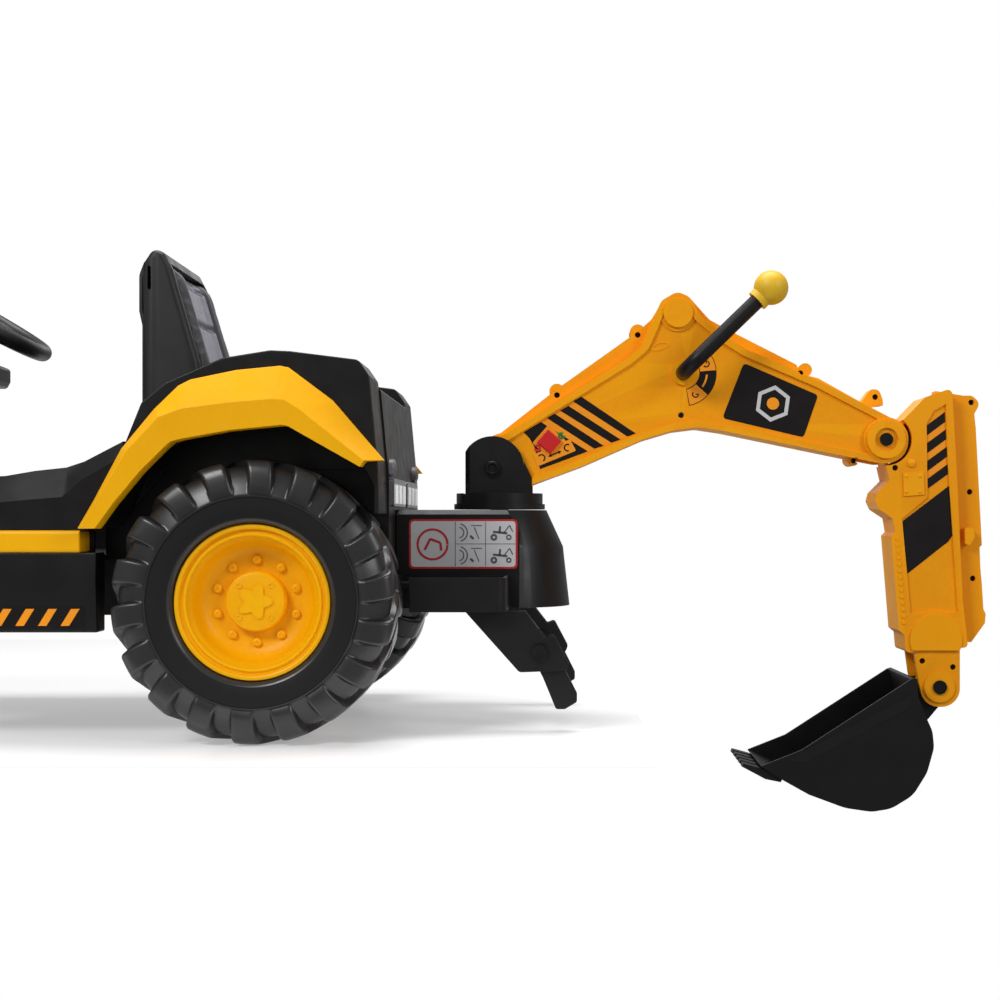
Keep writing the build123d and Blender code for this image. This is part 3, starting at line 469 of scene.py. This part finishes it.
def make_tyre(place, side, lugs, hole):
    """A chunky tractor tread on a smooth sidewall, as one closed ring."""
    low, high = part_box(f"tyre_{place}_{side}")
    centre = (Vector(low) + Vector(high)) / 2
    radius = (high[0] - low[0]) / 2
    half = (high[1] - low[1]) / 2
    sign = -1 if side == "left" else 1
    count = lugs * LUG_STEPS
    pitch = 2 * pi / lugs
    bm = bmesh.new()
    rows = []
    for face, stations in ((1, TREAD), (-1, list(reversed(TREAD[:-1])))):
        for lug_up, lug_out, gap_up, gap_out, risen, turn in stations:
            row = []
            for i in range(count):
                step = i if face > 0 else i + LUG_STEPS // 2
                rise = LUG_SHAPE[step % LUG_STEPS] * risen
                if turn == LAST_TURN:
                    rise = max(rise, LUG_SHAPE[(step + LUG_STEPS // 2) % LUG_STEPS])
                up = gap_up + (lug_up - gap_up) * rise
                out = (gap_out + (lug_out - gap_out) * rise) * half * face
                reach = hole + (radius - hole) * up
                angle = FIRST_LUG + pitch * (i / LUG_STEPS + turn)
                row.append(bm.verts.new(centre
                                        + Vector((reach * cos(angle), sign * out, reach * sin(angle)))))
            rows.append(row)
    for k, row in enumerate(rows):
        following = rows[(k + 1) % len(rows)]
        for i in range(count):
            j = (i + 1) % count
            face = bm.faces.new((row[i], row[j], following[j], following[i]))
            face.material_index = int(SIDEWALL_ROWS[0] <= k < SIDEWALL_ROWS[1])
    piece = add_mesh(f"tyre_{place}_{side}_treaded", bm, f"{place}_wheel_{side}", "tyre_black", smooth=48)
    piece.data.materials.append(SIDEWALL)
    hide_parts(f"tyre_{place}_{side}")


# Radius and depth in mm, from the inner edge round the outer face and back. These profiles are drawn for a
# rim of RIM_RADIUS and scaled to each rim, but radii under HUB_TUBE belong to the hub's tube and keep their size.
# TYRE_BULGE is how far the tyre stands out past the rim's face.
RIM_RADIUS = 91
RIM_FACE = 51.4
TYRE_BULGE = 8.6
RIM = [(RIM_RADIUS, -48), (RIM_RADIUS, 49), (90, 51), (87, RIM_FACE), (85.4, 50.6), (84.6, 47.6),
       (83.6, 46.6), (81.4, 46.6), (80.6, 47.8), (79.8, 49), (77.6, 49), (76.6, 48), (75.6, 44.4),
       (74.6, 43.2), (72.2, 41),
       (70.6, 37), (68.6, 29), (65.5, 23), (60.5, 18.6), (53, 16), (40, 15), (8.2, 15), (8.2, -30), (16, -30),
       (16, 9), (62, 9), (70, 18), (78, 38), (86, 38), (87, -48)]
HUB_TUBE = 20
NUT_CIRCLE = 48.5
NUT_SEAT = 15.2
CAP_FACE = 30.5
PIT_CIRCLE = 26.5
NUT = [(0, -2), (5.4, -2), (5.4, 2.6), (4.9, 4.2), (3.6, 5.2), (2.0, 5.5), (1.7, 4.8), (0, 4.8)]
CAP = [(0, NUT_SEAT), (35.8, NUT_SEAT), (35.8, 24), (35.2, 27.4), (33.6, 29.6), (31, 30.6), (13.8, 30.4),
       (13, 31.4), (10.6, 31.4), (9.8, 30.4), (0, 30.6)]
PIT = [(0, -1), (3.6, -1), (3.6, 0.9), (2.9, 1.3), (2.3, 0.9), (2.1, 0.3), (0, 0.2)]


def make_rim(place, side, hole, nuts=10):
    """The dished rim with its wheel nuts. Returns where its cap goes and its two scales."""
    low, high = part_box(f"rim_{place}_{side}")
    tyre_low, tyre_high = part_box(f"tyre_{place}_{side}")
    centre = (Vector(tyre_low) + Vector(tyre_high)) / 2
    sign = -1 if side == "left" else 1
    radial = hole / RIM_RADIUS
    deep = ((tyre_high[1] - tyre_low[1]) / 2 - TYRE_BULGE * MM) / RIM_FACE
    inner = abs(centre.y) - min(abs(low[1]), abs(high[1]))
    outward = Vector((0, sign, 0))
    bm = bmesh.new()
    profile = [(r * (radial if r > HUB_TUBE else MM), max(d * deep, -inner)) for r, d in RIM]
    lathe(bm, centre, outward, profile, 96, closed=True)
    for i in range(nuts):
        angle = 2 * pi * (i + 0.5) / nuts
        spot = Vector((cos(angle), 0, sin(angle))) * NUT_CIRCLE * radial
        lathe(bm, centre + spot + outward * NUT_SEAT * deep, outward, scaled(NUT, radial), 20)
    piece = add_mesh(f"rim_{place}_{side}_dished", bm, f"{place}_wheel_{side}", "yellow_body", smooth=34)
    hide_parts(f"rim_{place}_{side}")
    return centre, outward, radial, deep


def make_cap(place, side, centre, outward, radial, deep):
    """The hub cap with a raised star of five rounded points and four small pits."""
    bm = bmesh.new()
    face = CAP_FACE * deep
    lathe(bm, centre, outward, scaled(CAP, radial, deep), 72)
    star = []
    for i in range(60):
        angle = 2 * pi * i / 60
        reach = (17.5 + 4.2 * cos(5 * angle)) * radial
        star.append((reach * cos(angle), reach * sin(angle)))
    for level, shrink in ((0.0014, 1.0), (0.0022, 0.93)):
        top = centre + outward * (face + level)
        ring = [bm.verts.new(top + Vector((x * shrink, 0, z * shrink))) for x, z in star]
        foot = [bm.verts.new(v.co - outward * level * 1.6) for v in ring]
        bm.faces.new(ring)
        bm.faces.new(list(reversed(foot)))
        for i in range(len(ring)):
            j = (i + 1) % len(ring)
            bm.faces.new((ring[i], ring[j], foot[j], foot[i]))
    for i in range(4):
        angle = pi / 4 + i * pi / 2
        spot = Vector((cos(angle), 0, sin(angle))) * PIT_CIRCLE * radial
        lathe(bm, centre + spot + outward * face, outward, scaled(PIT), 18)
    piece = add_mesh(f"hub_cap_{place}_{side}_starred", bm, f"{place}_wheel_{side}", "yellow_body", smooth=30)
    if place == "rear":
        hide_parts(f"hub_cap_{place}_{side}")


def make_wheels():
    """Each wheel's tyre, rim and cap, with its number of lugs and the radius of its rim in mm."""
    for place, lugs, hole in (("rear", 18, 90.8), ("front", 16, 75.8)):
        for side in ("left", "right"):
            make_tyre(place, side, lugs, hole * MM)
            make_cap(place, side, *make_rim(place, side, hole * MM))


# ------------------------------------------------------------------ seat cushions

def cloth_swell(piece, cap, pressure=4.0, frames=20):
    """Fills the pad by a short cloth simulation with no gravity. No point moves out by more than the cap, in
    metres, or in by more than an eighth of it."""
    before = [v.co.copy() for v in piece.data.vertices]
    outward = [v.normal.copy() for v in piece.data.vertices]
    cloth = piece.modifiers.new("fill", "CLOTH")
    cloth.settings.use_pressure = True
    cloth.settings.uniform_pressure_force = pressure
    cloth.settings.effector_weights.gravity = 0
    scene = bpy.context.scene
    for number in range(1, frames + 1):
        scene.frame_set(number)
    graph = bpy.context.evaluated_depsgraph_get()
    after = [v.co.copy() for v in piece.evaluated_get(graph).data.vertices]
    piece.modifiers.clear()
    for vertex, old, new, normal in zip(piece.data.vertices, before, after, outward):
        move = new - old
        limit = cap if move.dot(normal) > 0 else cap / 8
        vertex.co = old + (move * (limit / move.length) if move.length > limit else move)
    scene.frame_set(1)


# The pads' sizes in metres. PAD_STRETCH is a share of their length.
PAD_VOXEL = 0.005
PAD_STRETCH = 0.045
PAD_CAP = 0.005
PALE_HALF = 0.062
SEAM_DEPTH = 0.0045
EDGE_SEAM = 0.0035
CROSS_SEAM = 0.0032
STITCH_PITCH = 0.006
STITCH_HALF = 0.0019
THREAD_RADIUS = 0.00045


def facing_frame(across):
    """The direction that a pad's face looks in, and the one along the face, square to Y."""
    face_way = Vector(across).normalized()
    return face_way, Vector((0, 1, 0)).cross(face_way).normalized()


def make_pad(node, across, seams, pale, sunk, shrink):
    """A sewn pad in the space of its CAD solid: swollen by cloth, then drawn in along its seams. across is
    where the pad's face looks and seams are distances along the face. The pale panel is 2 * pale wide."""
    bm = joined_mesh(node)
    middle = sum((v.co for v in bm.verts), Vector()) / len(bm.verts)
    face_way, along = facing_frame(across)
    for vertex in bm.verts:
        vertex.co += along * (vertex.co - middle).dot(along) * PAD_STRETCH
        offset = vertex.co - middle
        length = offset.length
        vertex.co = middle + offset * ((length - shrink) / length)
    piece = add_mesh(node + "_sewn", bm, NODE_BODY[node], NODE_SLOT[node])
    remesh = piece.modifiers.new("even", "REMESH")
    remesh.mode = "VOXEL"
    remesh.voxel_size = PAD_VOXEL
    apply_modifiers(piece)
    cloth_swell(piece, PAD_CAP)
    finer = piece.modifiers.new("finer", "SUBSURF")
    finer.levels = 1
    apply_modifiers(piece)
    mesh = piece.data
    normals = [v.normal.copy() for v in mesh.vertices]
    for vertex, normal in zip(mesh.vertices, normals):
        facing = max(0.0, normal.dot(face_way))
        y = abs(vertex.co.y)
        travel = vertex.co.dot(along)
        dip = sunk * (1 - min(1, max(0, (y - 0.5 * pale) / (0.75 * pale)))) ** 0.7
        seam = SEAM_DEPTH * exp(-((y - pale) / EDGE_SEAM) ** 2)
        if y < pale:
            for place in seams:
                seam = max(seam, SEAM_DEPTH * exp(-((travel - place) / CROSS_SEAM) ** 2))
        vertex.co -= face_way * (dip + seam) * facing
    mesh.materials.clear()
    mesh.materials.append(MATERIALS["seat_fabric"])
    mesh.materials.append(BOLSTER)
    for polygon in mesh.polygons:
        inside = abs(polygon.center.y) < pale and polygon.normal.dot(face_way) > 0.2
        polygon.material_index = 0 if inside else 1
        polygon.use_smooth = True
    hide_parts(node)
    make_stitches(node, piece, face_way, along, seams, pale)


def add_stitch(bm, where, normal, direction):
    """The six sides of a short thread on a face. Its ends are filled later."""
    along = (direction - normal * direction.dot(normal)).normalized()
    side = normal.cross(along)
    for k in range(6):
        ring = []
        for end in (-1, 1):
            for angle in (k * pi / 3, (k + 1) * pi / 3):
                round_way = side * cos(angle) + normal * sin(angle)
                ring.append(where + along * STITCH_HALF * end + round_way * THREAD_RADIUS + normal * 0.0001)
        bm.faces.new([bm.verts.new(p) for p in (ring[0], ring[1], ring[3], ring[2])])


def make_stitches(node, pad, face_way, along, seams, pale):
    """Short thread stitches beside the seams, laid on the pad's face."""
    graph = bpy.context.evaluated_depsgraph_get()
    cast = pad.evaluated_get(graph)
    travels = [v.co.dot(along) for v in pad.data.vertices]
    low, high = min(travels), max(travels)
    places = []
    for i in range(1, int((high - low) / STITCH_PITCH)):
        for y in (pale - STITCH_PITCH, STITCH_PITCH - pale):
            places.append((y, low + i * STITCH_PITCH, along))
    for place in seams:
        for i in range(int(2 * (pale - 0.01) / STITCH_PITCH)):
            places.append((0.01 - pale + i * STITCH_PITCH, place + 0.0055, Vector((0, 1, 0))))
    bm = bmesh.new()
    for y, travel, direction in places:
        hit, where, normal, _ = cast.ray_cast(Vector((0, y, 0)) + along * travel + face_way, -face_way)
        if hit and normal.dot(face_way) >= 0.5:
            add_stitch(bm, where, normal, direction)
    bmesh.ops.remove_doubles(bm, verts=bm.verts, dist=0.01 * MM)
    bmesh.ops.holes_fill(bm, edges=bm.edges, sides=6)
    add_mesh(node + "_stitches", bm, NODE_BODY[node], NODE_SLOT[node], THREAD)


def make_cushions():
    """The back's pad with three cross seams, and the seat's with two."""
    back_way = (0.957, 0, 0.289)
    along = facing_frame(back_way)[1]
    levels = [Vector((-0.11, 0, z)).dot(along) for z in (0.453, 0.519, 0.574)]
    make_pad("back_cushion", back_way, levels, PALE_HALF, 0.008, 0.0025)
    seat_way = (0.02, 0, 1)
    along = facing_frame(seat_way)[1]
    levels = [Vector((x, 0, 0.4)).dot(along) for x in (-0.045, 0.02)]
    make_pad("seat_cushion", seat_way, levels, PALE_HALF, 0.006, 0.003)


# ------------------------------------------------------------------ stickers and small fittings

# The Y in mm of the film on the left faces of the boom, the stick and the housing, LIFT outside each face.
# The boom's flat face lies BOOM_INSET inside its widest part.
LIFT = 0.45
BOOM_INSET = 9
ARM_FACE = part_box("boom_left")[0][1] / MM + BOOM_INSET - LIFT
STICK_FACE = -33 - LIFT
HOUSING_SIDE = -90 - LIFT
# The lever's pivot: X and Z in mm.
LEVER = (516, 452)


def on_circle(centre, radius, angle):
    """The point at a radius and an angle in degrees."""
    return (centre[0] + radius * cos(radians(angle)), centre[1] + radius * sin(radians(angle)))


def turned_square(centre, half, degrees):
    """A square's corners, turned about its centre."""
    corners = [(half, half), (-half, half), (-half, -half), (half, -half)]
    c, s = cos(radians(degrees)), sin(radians(degrees))
    return [(centre[0] + x * c - z * s, centre[1] + x * s + z * c) for x, z in corners]


def make_arm_stripes():
    """Slanted stripes on an orange ground, at the boom's lower end."""
    ground = [(383, 421), (330, 388), (331, 386), (392, 349), (454, 373)]
    sticker("arm_stripe_ground", "boom", "yellow_digger", DECAL_ORANGE, [ground], ARM_FACE + 0.2, sides=BOTH)
    stripes = [[(383, 421), (372, 415), (443, 369), (454, 373)],
               [(366, 409), (355, 403), (422, 361), (434, 365)],
               [(348, 399), (338, 393), (400, 353), (412, 357)],
               [(330, 388), (307.5, 374.5), (315, 367), (321, 357), (325, 342), (329, 326.5), (391.5, 349.7)]]
    sticker("arm_stripes", "boom", "black_body", DECAL_BLACK, stripes, ARM_FACE - 0.05, FILM, BOTH)


def make_switch_sticker():
    """The label round the red switch, with two turning arrows and a few plain marks."""
    label = rounded([(319.5, 345), (368, 365.5), (376, 350.5), (326, 330)], 2)
    sticker("switch_label", "boom", "yellow_digger", DECAL_ORANGE, [label], ARM_FACE - 0.3)
    frame_square = rounded(turned_square((341, 362), 15.6, -41), 2.5)
    sticker("switch_frame", "boom", "yellow_digger", DECAL_ORANGE, [frame_square], ARM_FACE - 0.2)
    arrows = (("open_arrow", DECAL_GREEN, (357, 370), 60), ("close_arrow", SIGNAL, (325.3, 354), 200))
    for name, colour, centre, start in arrows:
        ring = band(centre, 1.8, 4.8, start, start + 300)
        sticker(name, "boom", "switch_red", colour, [ring], ARM_FACE - 0.45, FILM)
    marks = [band((331, 341), 3.4, 5.2, -60, 150), band((365, 354.5), 3.4, 5.2, 60, 290),
             stroke((341, 343.5), (355, 349.2), 1.6), [(339, 342.6), (343.4, 346.6), (344.6, 342.6)],
             [(357, 350), (352.4, 350.2), (353.8, 346)]]
    sticker("switch_marks", "boom", "black_body", DECAL_BLACK, marks, ARM_FACE - 0.55, FILM)


def make_arm_badge():
    """A plain black panel with a six-sided ring and a dot."""
    plate = rounded([(595, 465), (692, 423), (673, 368), (567, 393)], 5)
    sticker("arm_badge_plate", "boom", "black_body", DECAL_BLACK, [plate], ARM_FACE, FILM, BOTH)
    centre = (633, 412)
    outer, inner = [arc(centre, radius, 22, 382, 6)[:-1] for radius in (24, 18.5)]
    ring = [[outer[i], outer[(i + 1) % 6], inner[(i + 1) % 6], inner[i]] for i in range(6)]
    sticker("arm_badge_ring", "boom", "clear_lens", DECAL_PALE, ring, ARM_FACE - 0.25, sides=BOTH)
    dot = arc(centre, 8, 0, 345, 23)
    sticker("arm_badge_dot", "boom", "yellow_digger", DECAL_ORANGE, [dot], ARM_FACE - 0.25, sides=BOTH)


def make_lever_sticker():
    """The lever's scale: a dark sector with orange ends and two small turning arrows."""
    edge = band(LEVER, 21, 43.5, 40, -80)
    sticker("lever_scale_edge", "boom", "black_body", DECAL_BLACK, [edge], ARM_FACE + 0.1)
    ends = [band(LEVER, 22, 42.5, 38.5, 5), band(LEVER, 22, 42.5, -42, -78.5), band(LEVER, 29.5, 32, -4, -36)]
    sticker("lever_scale_ends", "boom", "yellow_digger", DECAL_ORANGE, ends, ARM_FACE - 0.15)
    marks = []
    for angle in (22, -60):
        spot = on_circle(LEVER, 32, angle)
        marks.append(band(spot, 3.2, 4.8, angle - 160, angle + 40))
        marks.append(stroke(spot, on_circle(spot, 4.5, angle + 60), 1.5))
    sticker("lever_scale_marks", "boom", "black_body", DECAL_BLACK, marks, ARM_FACE - 0.4)


def make_stick_stickers():
    """Four slanted bars on an orange ground, and a black panel below them."""
    ground = [(831, 383), (857, 402), (861, 318), (835, 299)]
    sticker("stick_stripe_ground", "stick", "yellow_digger", DECAL_ORANGE, [ground], STICK_FACE + 0.25,
            sides=BOTH)
    bars = []
    for i in range(4):
        drop = i * 22.7
        left, right = 831.5 + i * 1.1, 857.2 + i * 1.2
        bars.append([(left, 382 - drop), (right, 401 - drop), (right + 0.6, 388 - drop),
                     (left + 0.6, 369 - drop)])
    panel = [(801.5, 258), (863, 305), (867, 240), (862, 232), (808.5, 190)]
    sticker("stick_stripes", "stick", "black_body", DECAL_BLACK, bars + [panel], STICK_FACE, FILM, BOTH)


def make_housing_sticker():
    """A pale label with a red edge, four plain line drawings and a round sign. It has no lettering."""

    def box(x0, x1, z0, z1):
        return [(x0, z0), (x1, z0), (x1, z1), (x0, z1)]

    edge = rounded(box(163, 301, 198, 261), 6)
    sticker("housing_label_border", "root", "switch_red", DECAL_RED, [edge], HOUSING_SIDE, FILM, BOTH)
    ground = rounded(box(165.5, 298.5, 200.5, 258.5), 5)
    sticker("housing_label_ground", "root", "clear_lens", DECAL_PALE, [ground], HOUSING_SIDE - 0.2,
            sides=BOTH)
    lines = [box(221.5, 222.3, 201, 258), box(260, 260.8, 201, 258), box(222, 298, 229.2, 230)]
    for x, z in ((226, 215), (226, 244)):
        lines += [band((x, z), 10.5, 12, -75, 75), band((x, z), 6, 7.5, -80, 80)]
        lines += [stroke((242, z + 9), (256, z + 9), 1.2), stroke((246, z + 7), (252, z - 8), 1.2),
                  stroke((241, z - 4), (245, z - 8), 3)]
    for x, z in ((280, 206), (280, 235)):
        lines += [band((x - 9, z + 3), 1.6, 4.4, 0, 355, 20), band((x + 10, z + 3), 1.6, 3.6, 0, 355, 20),
                  stroke((x - 10, z + 10), (x + 8, z + 8), 3), stroke((x - 2, z + 9), (x - 1, z + 17), 2.6),
                  stroke((x + 4, z + 9), (x + 11, z + 18), 1.4), stroke((x + 11, z + 18), (x + 15, z + 10),
                          1.4)]
    sticker("housing_label_drawings", "root", "black_body", DECAL_GREY, lines, HOUSING_SIDE - 0.35,
            sides=BOTH)
    sign = [band((193, 229), 17.5, 20.5, 0, 358, 40), stroke((183, 222), (190, 236), 3.2),
            stroke((190, 236), (203, 231), 3.2), stroke((203, 231), (204, 221), 3.2)]
    sticker("housing_label_sign", "root", "switch_red", DECAL_RED, sign, HOUSING_SIDE - 0.35, sides=BOTH)


def make_sill_stickers():
    """Slanted hazard bars on the sill, which leans in towards the ground."""

    def face(x, z):
        return -265 + 7 * (190 - z) / 62 - LIFT

    strip = [(-484, 133), (-201, 133), (-201, 159), (-484, 159)]
    sticker("sill_strip", "root", "black_body", DECAL_BLACK, [strip], lambda x, z: face(x, z) + 0.2,
            sides=BOTH)
    bars = []
    for i in range(10):
        x = -213 - i * 26.5
        bars.append([(x - 17, 136), (x - 7, 136), (x + 6, 156), (x - 4, 156)])
    sticker("sill_bars", "root", "yellow_digger", DECAL_ORANGE, bars, face, 0.35, BOTH)


def make_lamp_details():
    """White reflector bars on each tail lamp, and a round boss on the panel above it."""
    low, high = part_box("tail_lamps")
    middle = (low[2] + high[2]) / 2 - 0.002
    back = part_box("upper_body")[1][0]
    boss = scaled([(0, 0), (11, 0), (11, 4), (10, 6.5), (7.5, 8), (4, 8.8), (0, 9)])
    for side in BOTH:
        label = "left" if side < 0 else "right"
        bm = bmesh.new()
        for y in (0.040, 0.090, 0.140):
            for shift in (-0.008, 0.008):
                matrix = (Matrix.Translation((high[0] + 0.0004, side * (y + shift), middle))
                          @ Matrix.Diagonal((0.0022, 0.007, 0.024, 1)))
                bmesh.ops.create_cube(bm, size=1, matrix=matrix)
        bmesh.ops.bevel(bm, geom=bm.edges[:], offset=0.0008, segments=2, affect="EDGES")
        add_mesh(f"lamp_bars_{label}", bm, "root", "clear_lens", LAMP_WHITE)
        bm = bmesh.new()
        lathe(bm, (back - 0.001, side * 0.158, 0.324), (1, 0, 0), boss, 32)
        add_mesh(f"lamp_boss_{label}", bm, "root", "black_body", GREY_PLASTIC)


def make_liners():
    """Thin panels that close the wheel arches above the deck, inside the fenders."""
    bm = bmesh.new()
    paired_plates(bm, [(-128, 322), (112, 322), (112, 372), (-112, 372)], -178.5, 2.5)
    add_mesh("arch_liners", bm, "root", "black_body", smooth=30)


def make_bucket_band():
    """The stiff band below the bucket's rim, on both sides."""
    bm = bmesh.new()
    side_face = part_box("bucket")[0][1] / MM
    outline = rounded([(640, -49), (806, 38), (802, 20), (668, -50)], 3)
    paired_plates(bm, outline, side_face - 0.9, 1.2)
    add_mesh("bucket_side_bands", bm, "bucket", "black_parts", smooth=30)


def make_seat_slot():
    """A flat black plate, high on each side of the seat's back: painted shade standing in for a dark slot."""
    bm = bmesh.new()
    outline = rounded([(-164, 551), (-160.5, 551), (-160.5, 580), (-164, 580)], 1.6)
    paired_plates(bm, outline, -112.5, 0.8)
    add_mesh("seat_side_slot_shade", bm, NODE_BODY["seat_shell"], "seat_black", SLOT_SHADE)


def side_lathe(bm, place, depth, profile, steps):
    """The same turned shape on the left and on the right, facing out. Place (X and Z) and depth are in mm."""
    for side in BOTH:
        lathe(bm, (place[0] * MM, side * depth * MM, place[1] * MM), (0, side, 0), profile, steps)


# A place in X and Z and the depth of the moulded hole there, in mm.
SCREWS = {
    "boom": [((351, 424), 13.2), ((457, 503), 13.2), ((671, 453), 13.2), ((741, 338), 13.2),
             ((513, 397), 30.2),
             ((770, 422), 8.2)],
    "stick": [((897, 415), 5.2), ((895, 297), 5.2), ((899, 183), 5.2), ((828, 76), 28.2), ((868, 68), 28.2),
              ((792, 328), 31.2)],
}


def make_screws():
    """Screws down the moulded holes of the arm."""
    screw = scaled([(0, 0), (3.5, 0), (3.5, 1.4), (2.8, 2.0), (1.6, 2.1), (1.2, 1.2), (0, 1.1)])
    for body, spots in SCREWS.items():
        bm = bmesh.new()
        for place, depth in spots:
            side_lathe(bm, place, depth - 0.3, screw, 18)
        add_mesh(f"{body}_screws", bm, body, "black_bolt")


def make_stick_marks():
    """Raised dots, a row of short bars and a small plate on the stick's sides."""
    bm = bmesh.new()
    for place, size in (((806, 317), 2.4), ((824, 317), 2.4), ((806, 297), 2.4), ((824, 297), 2.4),
                        ((813, 334), 5.2)):
        dot = scaled([(0, 0), (size, 0), (size, 2.6), (size * 0.7, 3.6), (0, 3.9)])
        side_lathe(bm, place, 35.5, dot, 20)
    bars = 14
    for side in BOTH:
        for i in range(bars):
            share = i / (bars - 1)
            x, z = 794.5 + 9 * share, 236 - 110 * share
            matrix = Matrix.Translation((x * MM, side * 36 * MM, z * MM)) @ Matrix.Diagonal((0.0048, 0.0022,
                    0.0036, 1))
            bmesh.ops.create_cube(bm, size=1, matrix=matrix)
    paired_plates(bm, rounded([(885, 250), (896, 250), (898, 238), (892, 227), (885, 229)], 2), -27, 12)
    add_mesh("stick_raised_marks", bm, "stick", "yellow_digger", smooth=30)


def make_arm_oval():
    """A raised oval ring on each side of the boom."""
    x0, z0 = 486, 487
    count = 32
    tilt = 0.3
    oval = []
    for i in range(count):
        x, z = 13 * cos(2 * pi * i / count), 5 * sin(2 * pi * i / count)
        oval.append((x0 + x * cos(tilt) - z * sin(tilt), z0 + x * sin(tilt) + z * cos(tilt)))
    hollow = [(x0 + (x - x0) * 0.78, z0 + (z - z0) * 0.66) for x, z in oval]
    bm = bmesh.new()
    for side in BOTH:
        rings = []
        for points, height in ((oval, 31.8), (oval, 32.8), (hollow, 32.8), (hollow, 31.8)):
            rings.append([bm.verts.new((x * MM, side * height * MM, z * MM)) for x, z in points])
        for a, b in zip(rings, rings[1:] + rings[:1]):
            for i in range(count):
                j = (i + 1) % count
                bm.faces.new((a[i], a[j], b[j], b[i]))
    add_mesh("arm_raised_oval", bm, "boom", "yellow_digger", smooth=30)


def make_pin_dome():
    """The domed, hollow ends of the boom's pivot bolt."""
    bm = bmesh.new()
    dome = scaled([(0, 0), (9.5, 0), (9.5, 1), (8.4, 2.2), (6.2, 2.4), (5.2, 1.6), (4.8, 0.6), (0, 0.5)])
    side_lathe(bm, (267, 327), 47.6, dome, 32)
    add_mesh("boom_pin_dome", bm, "turntable", "black_bolt")


for node, width in SOFTENED.items():
    soften(node, width)
REPLACED = ["back_cushion", "seat_cushion", "seat_shell"]
for label in ("left", "right"):
    REPLACED += [f"tyre_rear_{label}", f"tyre_front_{label}", f"rim_rear_{label}", f"rim_front_{label}"]
    REPLACED.append(f"hub_cap_rear_{label}")
round_seat_shell()
for node in NODE_SLOT:
    if node not in SOFTENED and node not in REPLACED:
        keep(node)
make_wheels()
make_cushions()
make_arm_stripes()
make_switch_sticker()
make_arm_badge()
make_lever_sticker()
make_stick_stickers()
make_housing_sticker()
make_sill_stickers()
make_lamp_details()
make_screws()
make_stick_marks()
make_arm_oval()
make_pin_dome()
make_liners()
make_bucket_band()
make_seat_slot()


# ------------------------------------------------------------------ stage

ROOM_LIGHT = 0.3
FLOOR_GLOW = 0.3


def soft_light(name, where, target, size, power):
    """A rectangular light that looks at a point."""
    data = bpy.data.lights.new(name, "AREA")
    data.shape = "RECTANGLE"
    data.size, data.size_y = size
    data.energy = power
    light = bpy.data.objects.new(name, data)
    light.location = where
    light.rotation_euler = (Vector(target) - Vector(where)).to_track_quat("-Z", "Y").to_euler()
    bpy.context.scene.collection.objects.link(light)


def make_stage():
    """A white room that lights the part softly, a pale floor under the vehicle, and four lights."""
    scene = bpy.context.scene
    world = bpy.data.worlds.new("studio")
    scene.world = world
    world.use_nodes = True
    nodes = world.node_tree.nodes
    links = world.node_tree.links
    background = nodes["Background"]
    background.inputs["Color"].default_value = (1, 1, 1, 1)
    path = nodes.new("ShaderNodeLightPath")
    level = nodes.new("ShaderNodeMapRange")
    level.inputs["To Min"].default_value = ROOM_LIGHT
    level.inputs["To Max"].default_value = 1.0
    links.new(path.outputs["Is Camera Ray"], level.inputs["Value"])
    links.new(level.outputs["Result"], background.inputs["Strength"])
    bm = bmesh.new()
    bmesh.ops.create_cube(bm, size=1)
    bmesh.ops.transform(bm, matrix=Matrix.Translation((-1.27, 0.5, -0.0015)) @ Matrix.Diagonal((3.46, 1.9,
            0.001, 1)),
                        verts=bm.verts)
    mesh = bpy.data.meshes.new("floor_slab")
    bm.to_mesh(mesh)
    bm.free()
    floor = bpy.data.objects.new("floor_slab", mesh)
    scene.collection.objects.link(floor)
    material, n = new_material("pale_floor")
    n.shader.inputs["Base Color"].default_value = (0.97, 0.97, 0.98, 1)
    n.shader.inputs["Roughness"].default_value = 0.22
    glow(n.shader, FLOOR_GLOW)
    mesh.materials.append(material)
    soft_light("key", (-1.6, -2.6, 2.4), (0.1, 0, 0.2), (1.3, 0.9), 62)
    soft_light("fill", (2.6, -2.2, 1.5), (0.3, 0, 0.2), (1.0, 1.2), 26)
    soft_light("top", (0.2, 0.2, 2.6), (0.2, 0, 0), (2.2, 1.2), 58)
    soft_light("rim", (0.5, 2.6, 1.6), (0.2, 0, 0.3), (2.0, 1.0), 7)


def make_camera():
    """Level, on the vehicle's left, with its rear half in view."""
    scene = bpy.context.scene
    data = bpy.data.cameras.new("camera")
    data.sensor_width = 36
    data.lens = 60.7
    data.shift_x = -0.06
    data.shift_y = 0.02
    camera = bpy.data.objects.new("camera", data)
    camera.location = (0.355, -2.234, 0.260)
    camera.rotation_euler = (radians(90), 0, 0)
    scene.collection.objects.link(camera)
    scene.camera = camera
    scene.view_settings.view_transform = "Standard"


make_stage()
make_camera()
